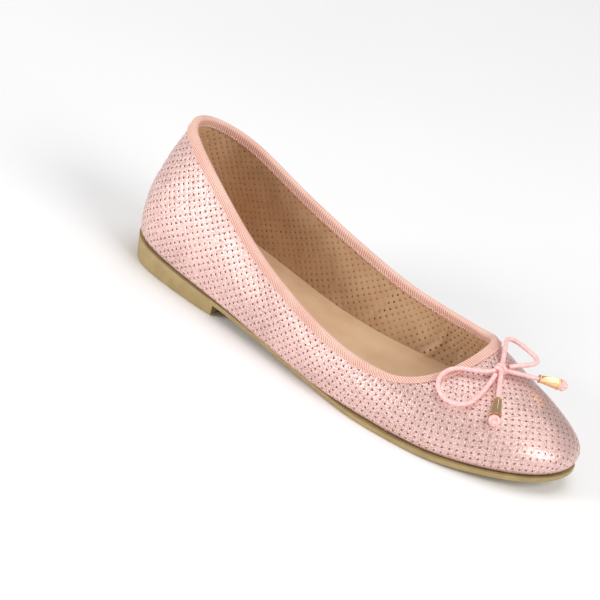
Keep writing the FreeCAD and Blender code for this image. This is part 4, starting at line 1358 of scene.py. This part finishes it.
def end_knot_wraps(name, centre, way):
    """Knot at the end of a cord: it comes down the middle, turns round itself and tucks back in."""
    leaning = frame_of(COIL_LEAN - way * 0.6)
    points = [centre + way * 2.4 * MM, centre + way * 1.2 * MM]
    for i in range(15):
        share = i / 14
        angle = math.pi * (0.6 + 2 * COIL_TURNS * share)
        local = Vector((math.cos(angle) * COIL, math.sin(angle) * COIL, COIL_RISE * (0.5 - share)))
        points.append(centre + leaning @ local)
    points.append(centre - leaning @ Vector((0, 0, 0.3 * MM)))
    return as_mesh(cord_curve(name, points, 6))


# %% Metal bells
TIP_LENGTH, TIP_MOUTH, TIP_NECK = 10 * MM, 6.4 * MM, 4.4 * MM
SETBACK, MOUTH_BACK = 4.0 * MM, 2.0 * MM
RIM, COLLAR, WALL_AT_MOUTH = 1.08, 1.12, 0.4 * MM
BORE_TAPER, BORE_DEPTH, NECK_HOLE, BELL_BEVEL = 0.66, 0.72, 0.78, 0.13 * MM


def pull(mesh, face, scale, rise):
    """Extrude a face along the axis and scale it about the axis; gives the new face."""
    made = bmesh.ops.extrude_face_region(mesh, geom=[face])["geom"]
    bmesh.ops.delete(mesh, geom=[face], context="FACES")
    for vertex in (item for item in made if isinstance(item, bmesh.types.BMVert)):
        vertex.co.x *= scale
        vertex.co.y *= scale
        vertex.co.z += rise
    return next(item for item in made if isinstance(item, bmesh.types.BMFace))


def bell(name, mouth, way):
    """Six-sided hollow bell with a rim at its mouth and a collar at its neck."""
    bpy.ops.mesh.primitive_cone_add(
        vertices=6, radius1=TIP_MOUTH / 2 / RIM, radius2=TIP_NECK / 2 / COLLAR,
        depth=TIP_LENGTH - 1.4 * MM, location=(0, 0, TIP_LENGTH / 2 + 0.1 * MM))
    piece = bpy.context.object
    piece.name = name
    bpy.ops.object.transform_apply(location=True, rotation=True, scale=True)
    mesh = bmesh.new()
    mesh.from_mesh(piece.data)
    floor = min(mesh.faces, key=lambda face: face.calc_center_median().z)
    roof = max(mesh.faces, key=lambda face: face.calc_center_median().z)
    floor = pull(mesh, pull(mesh, floor, RIM, -0.1 * MM), 1.0, -0.7 * MM)
    floor = pull(mesh, floor, 1 - WALL_AT_MOUTH * 2 / TIP_MOUTH, 0.0)
    pull(mesh, floor, BORE_TAPER, BORE_DEPTH * TIP_LENGTH)
    roof = pull(mesh, pull(mesh, roof, COLLAR, 0.1 * MM), 1.0, 0.5 * MM)
    roof = pull(mesh, roof, NECK_HOLE, 0.0)
    pull(mesh, roof, 0.9, -0.4 * MM)
    mesh.to_mesh(piece.data)
    mesh.free()
    bevel = piece.modifiers.new("edges", "BEVEL")
    bevel.width, bevel.segments, bevel.limit_method = BELL_BEVEL, 2, "ANGLE"
    bevel.angle_limit = math.radians(20)
    bpy.ops.object.modifier_apply(modifier="edges")
    piece.data.transform(Matrix.Translation(mouth) @ frame_of(way).to_4x4())
    return piece


# %% Ends of both tails
for side in ("outer", "inner"):
    route = [KNOT + Vector(step) * MM for step in ROUTES[side + "_tail"]]
    way = (route[-2] - route[-1]).normalized()
    centre = route[-1] + way * SETBACK
    end_knot = end_knot_wraps(side + "_end_wraps", centre, way)
    settle(end_knot, "bow_cord", side + "_end_knot", body=side + "_tail")
    tip = bell(side + "_bell", centre + way * MOUTH_BACK, way)
    settle(tip, "gold_metal", side + "_tip", body=side + "_tip", angle=30)
    print(side, "end has", len(tip.data.polygons), "faces of metal")

for name, cord in cords.items():
    dress(cord, "bow_cord")
    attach(cord, name)
    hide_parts(name)

# %% [markdown]
# ## Floor and light
# A plain pale floor and large soft lamps: one low at the front left draws the long highlight on the
# quarter, one overhead lights the vamp and the footbed, and a weaker one fills from the right.

# %% Floor and lamps
bpy.ops.mesh.primitive_plane_add(size=6.0, location=(0, 0, 0))
floor = bpy.context.object
floor.name = "floor"
paper = plain_finish("floor_paper", (0.96, 0.96, 0.96, 1), (0.98, 0.98, 0.98, 1), 0.2, 0.8, 0.0)
floor.data.materials.append(paper)


# Each lamp: its place, its power in watts and its side, all of them pointing at the shoe.
LAMPS = {"front_left_lamp": ((-1.1, -1.4, 0.52), 20, 0.7), "overhead_lamp": ((0.1, 0.3, 1.8), 11, 1.4),
         "right_lamp": ((1.55, -0.4, 1.1), 20, 1.0)}
for name, (place, power, side) in LAMPS.items():
    bpy.ops.object.light_add(type="AREA", location=place)
    lamp = bpy.context.object
    lamp.name = name
    lamp.data.energy, lamp.data.size = power, side
    lamp.rotation_euler = (Vector((0, 0, 0.03)) - Vector(place)).to_track_quat("-Z", "Y").to_euler()
world = bpy.data.worlds.new("studio")
world.use_nodes = True
glow = world.node_tree.nodes["Background"].inputs
glow["Color"].default_value = (1, 1, 1, 1)
glow["Strength"].default_value = 0.37
bpy.context.scene.world = world
bpy.context.scene.view_settings.view_transform = "Standard"
print("lamps:", ", ".join(LAMPS))
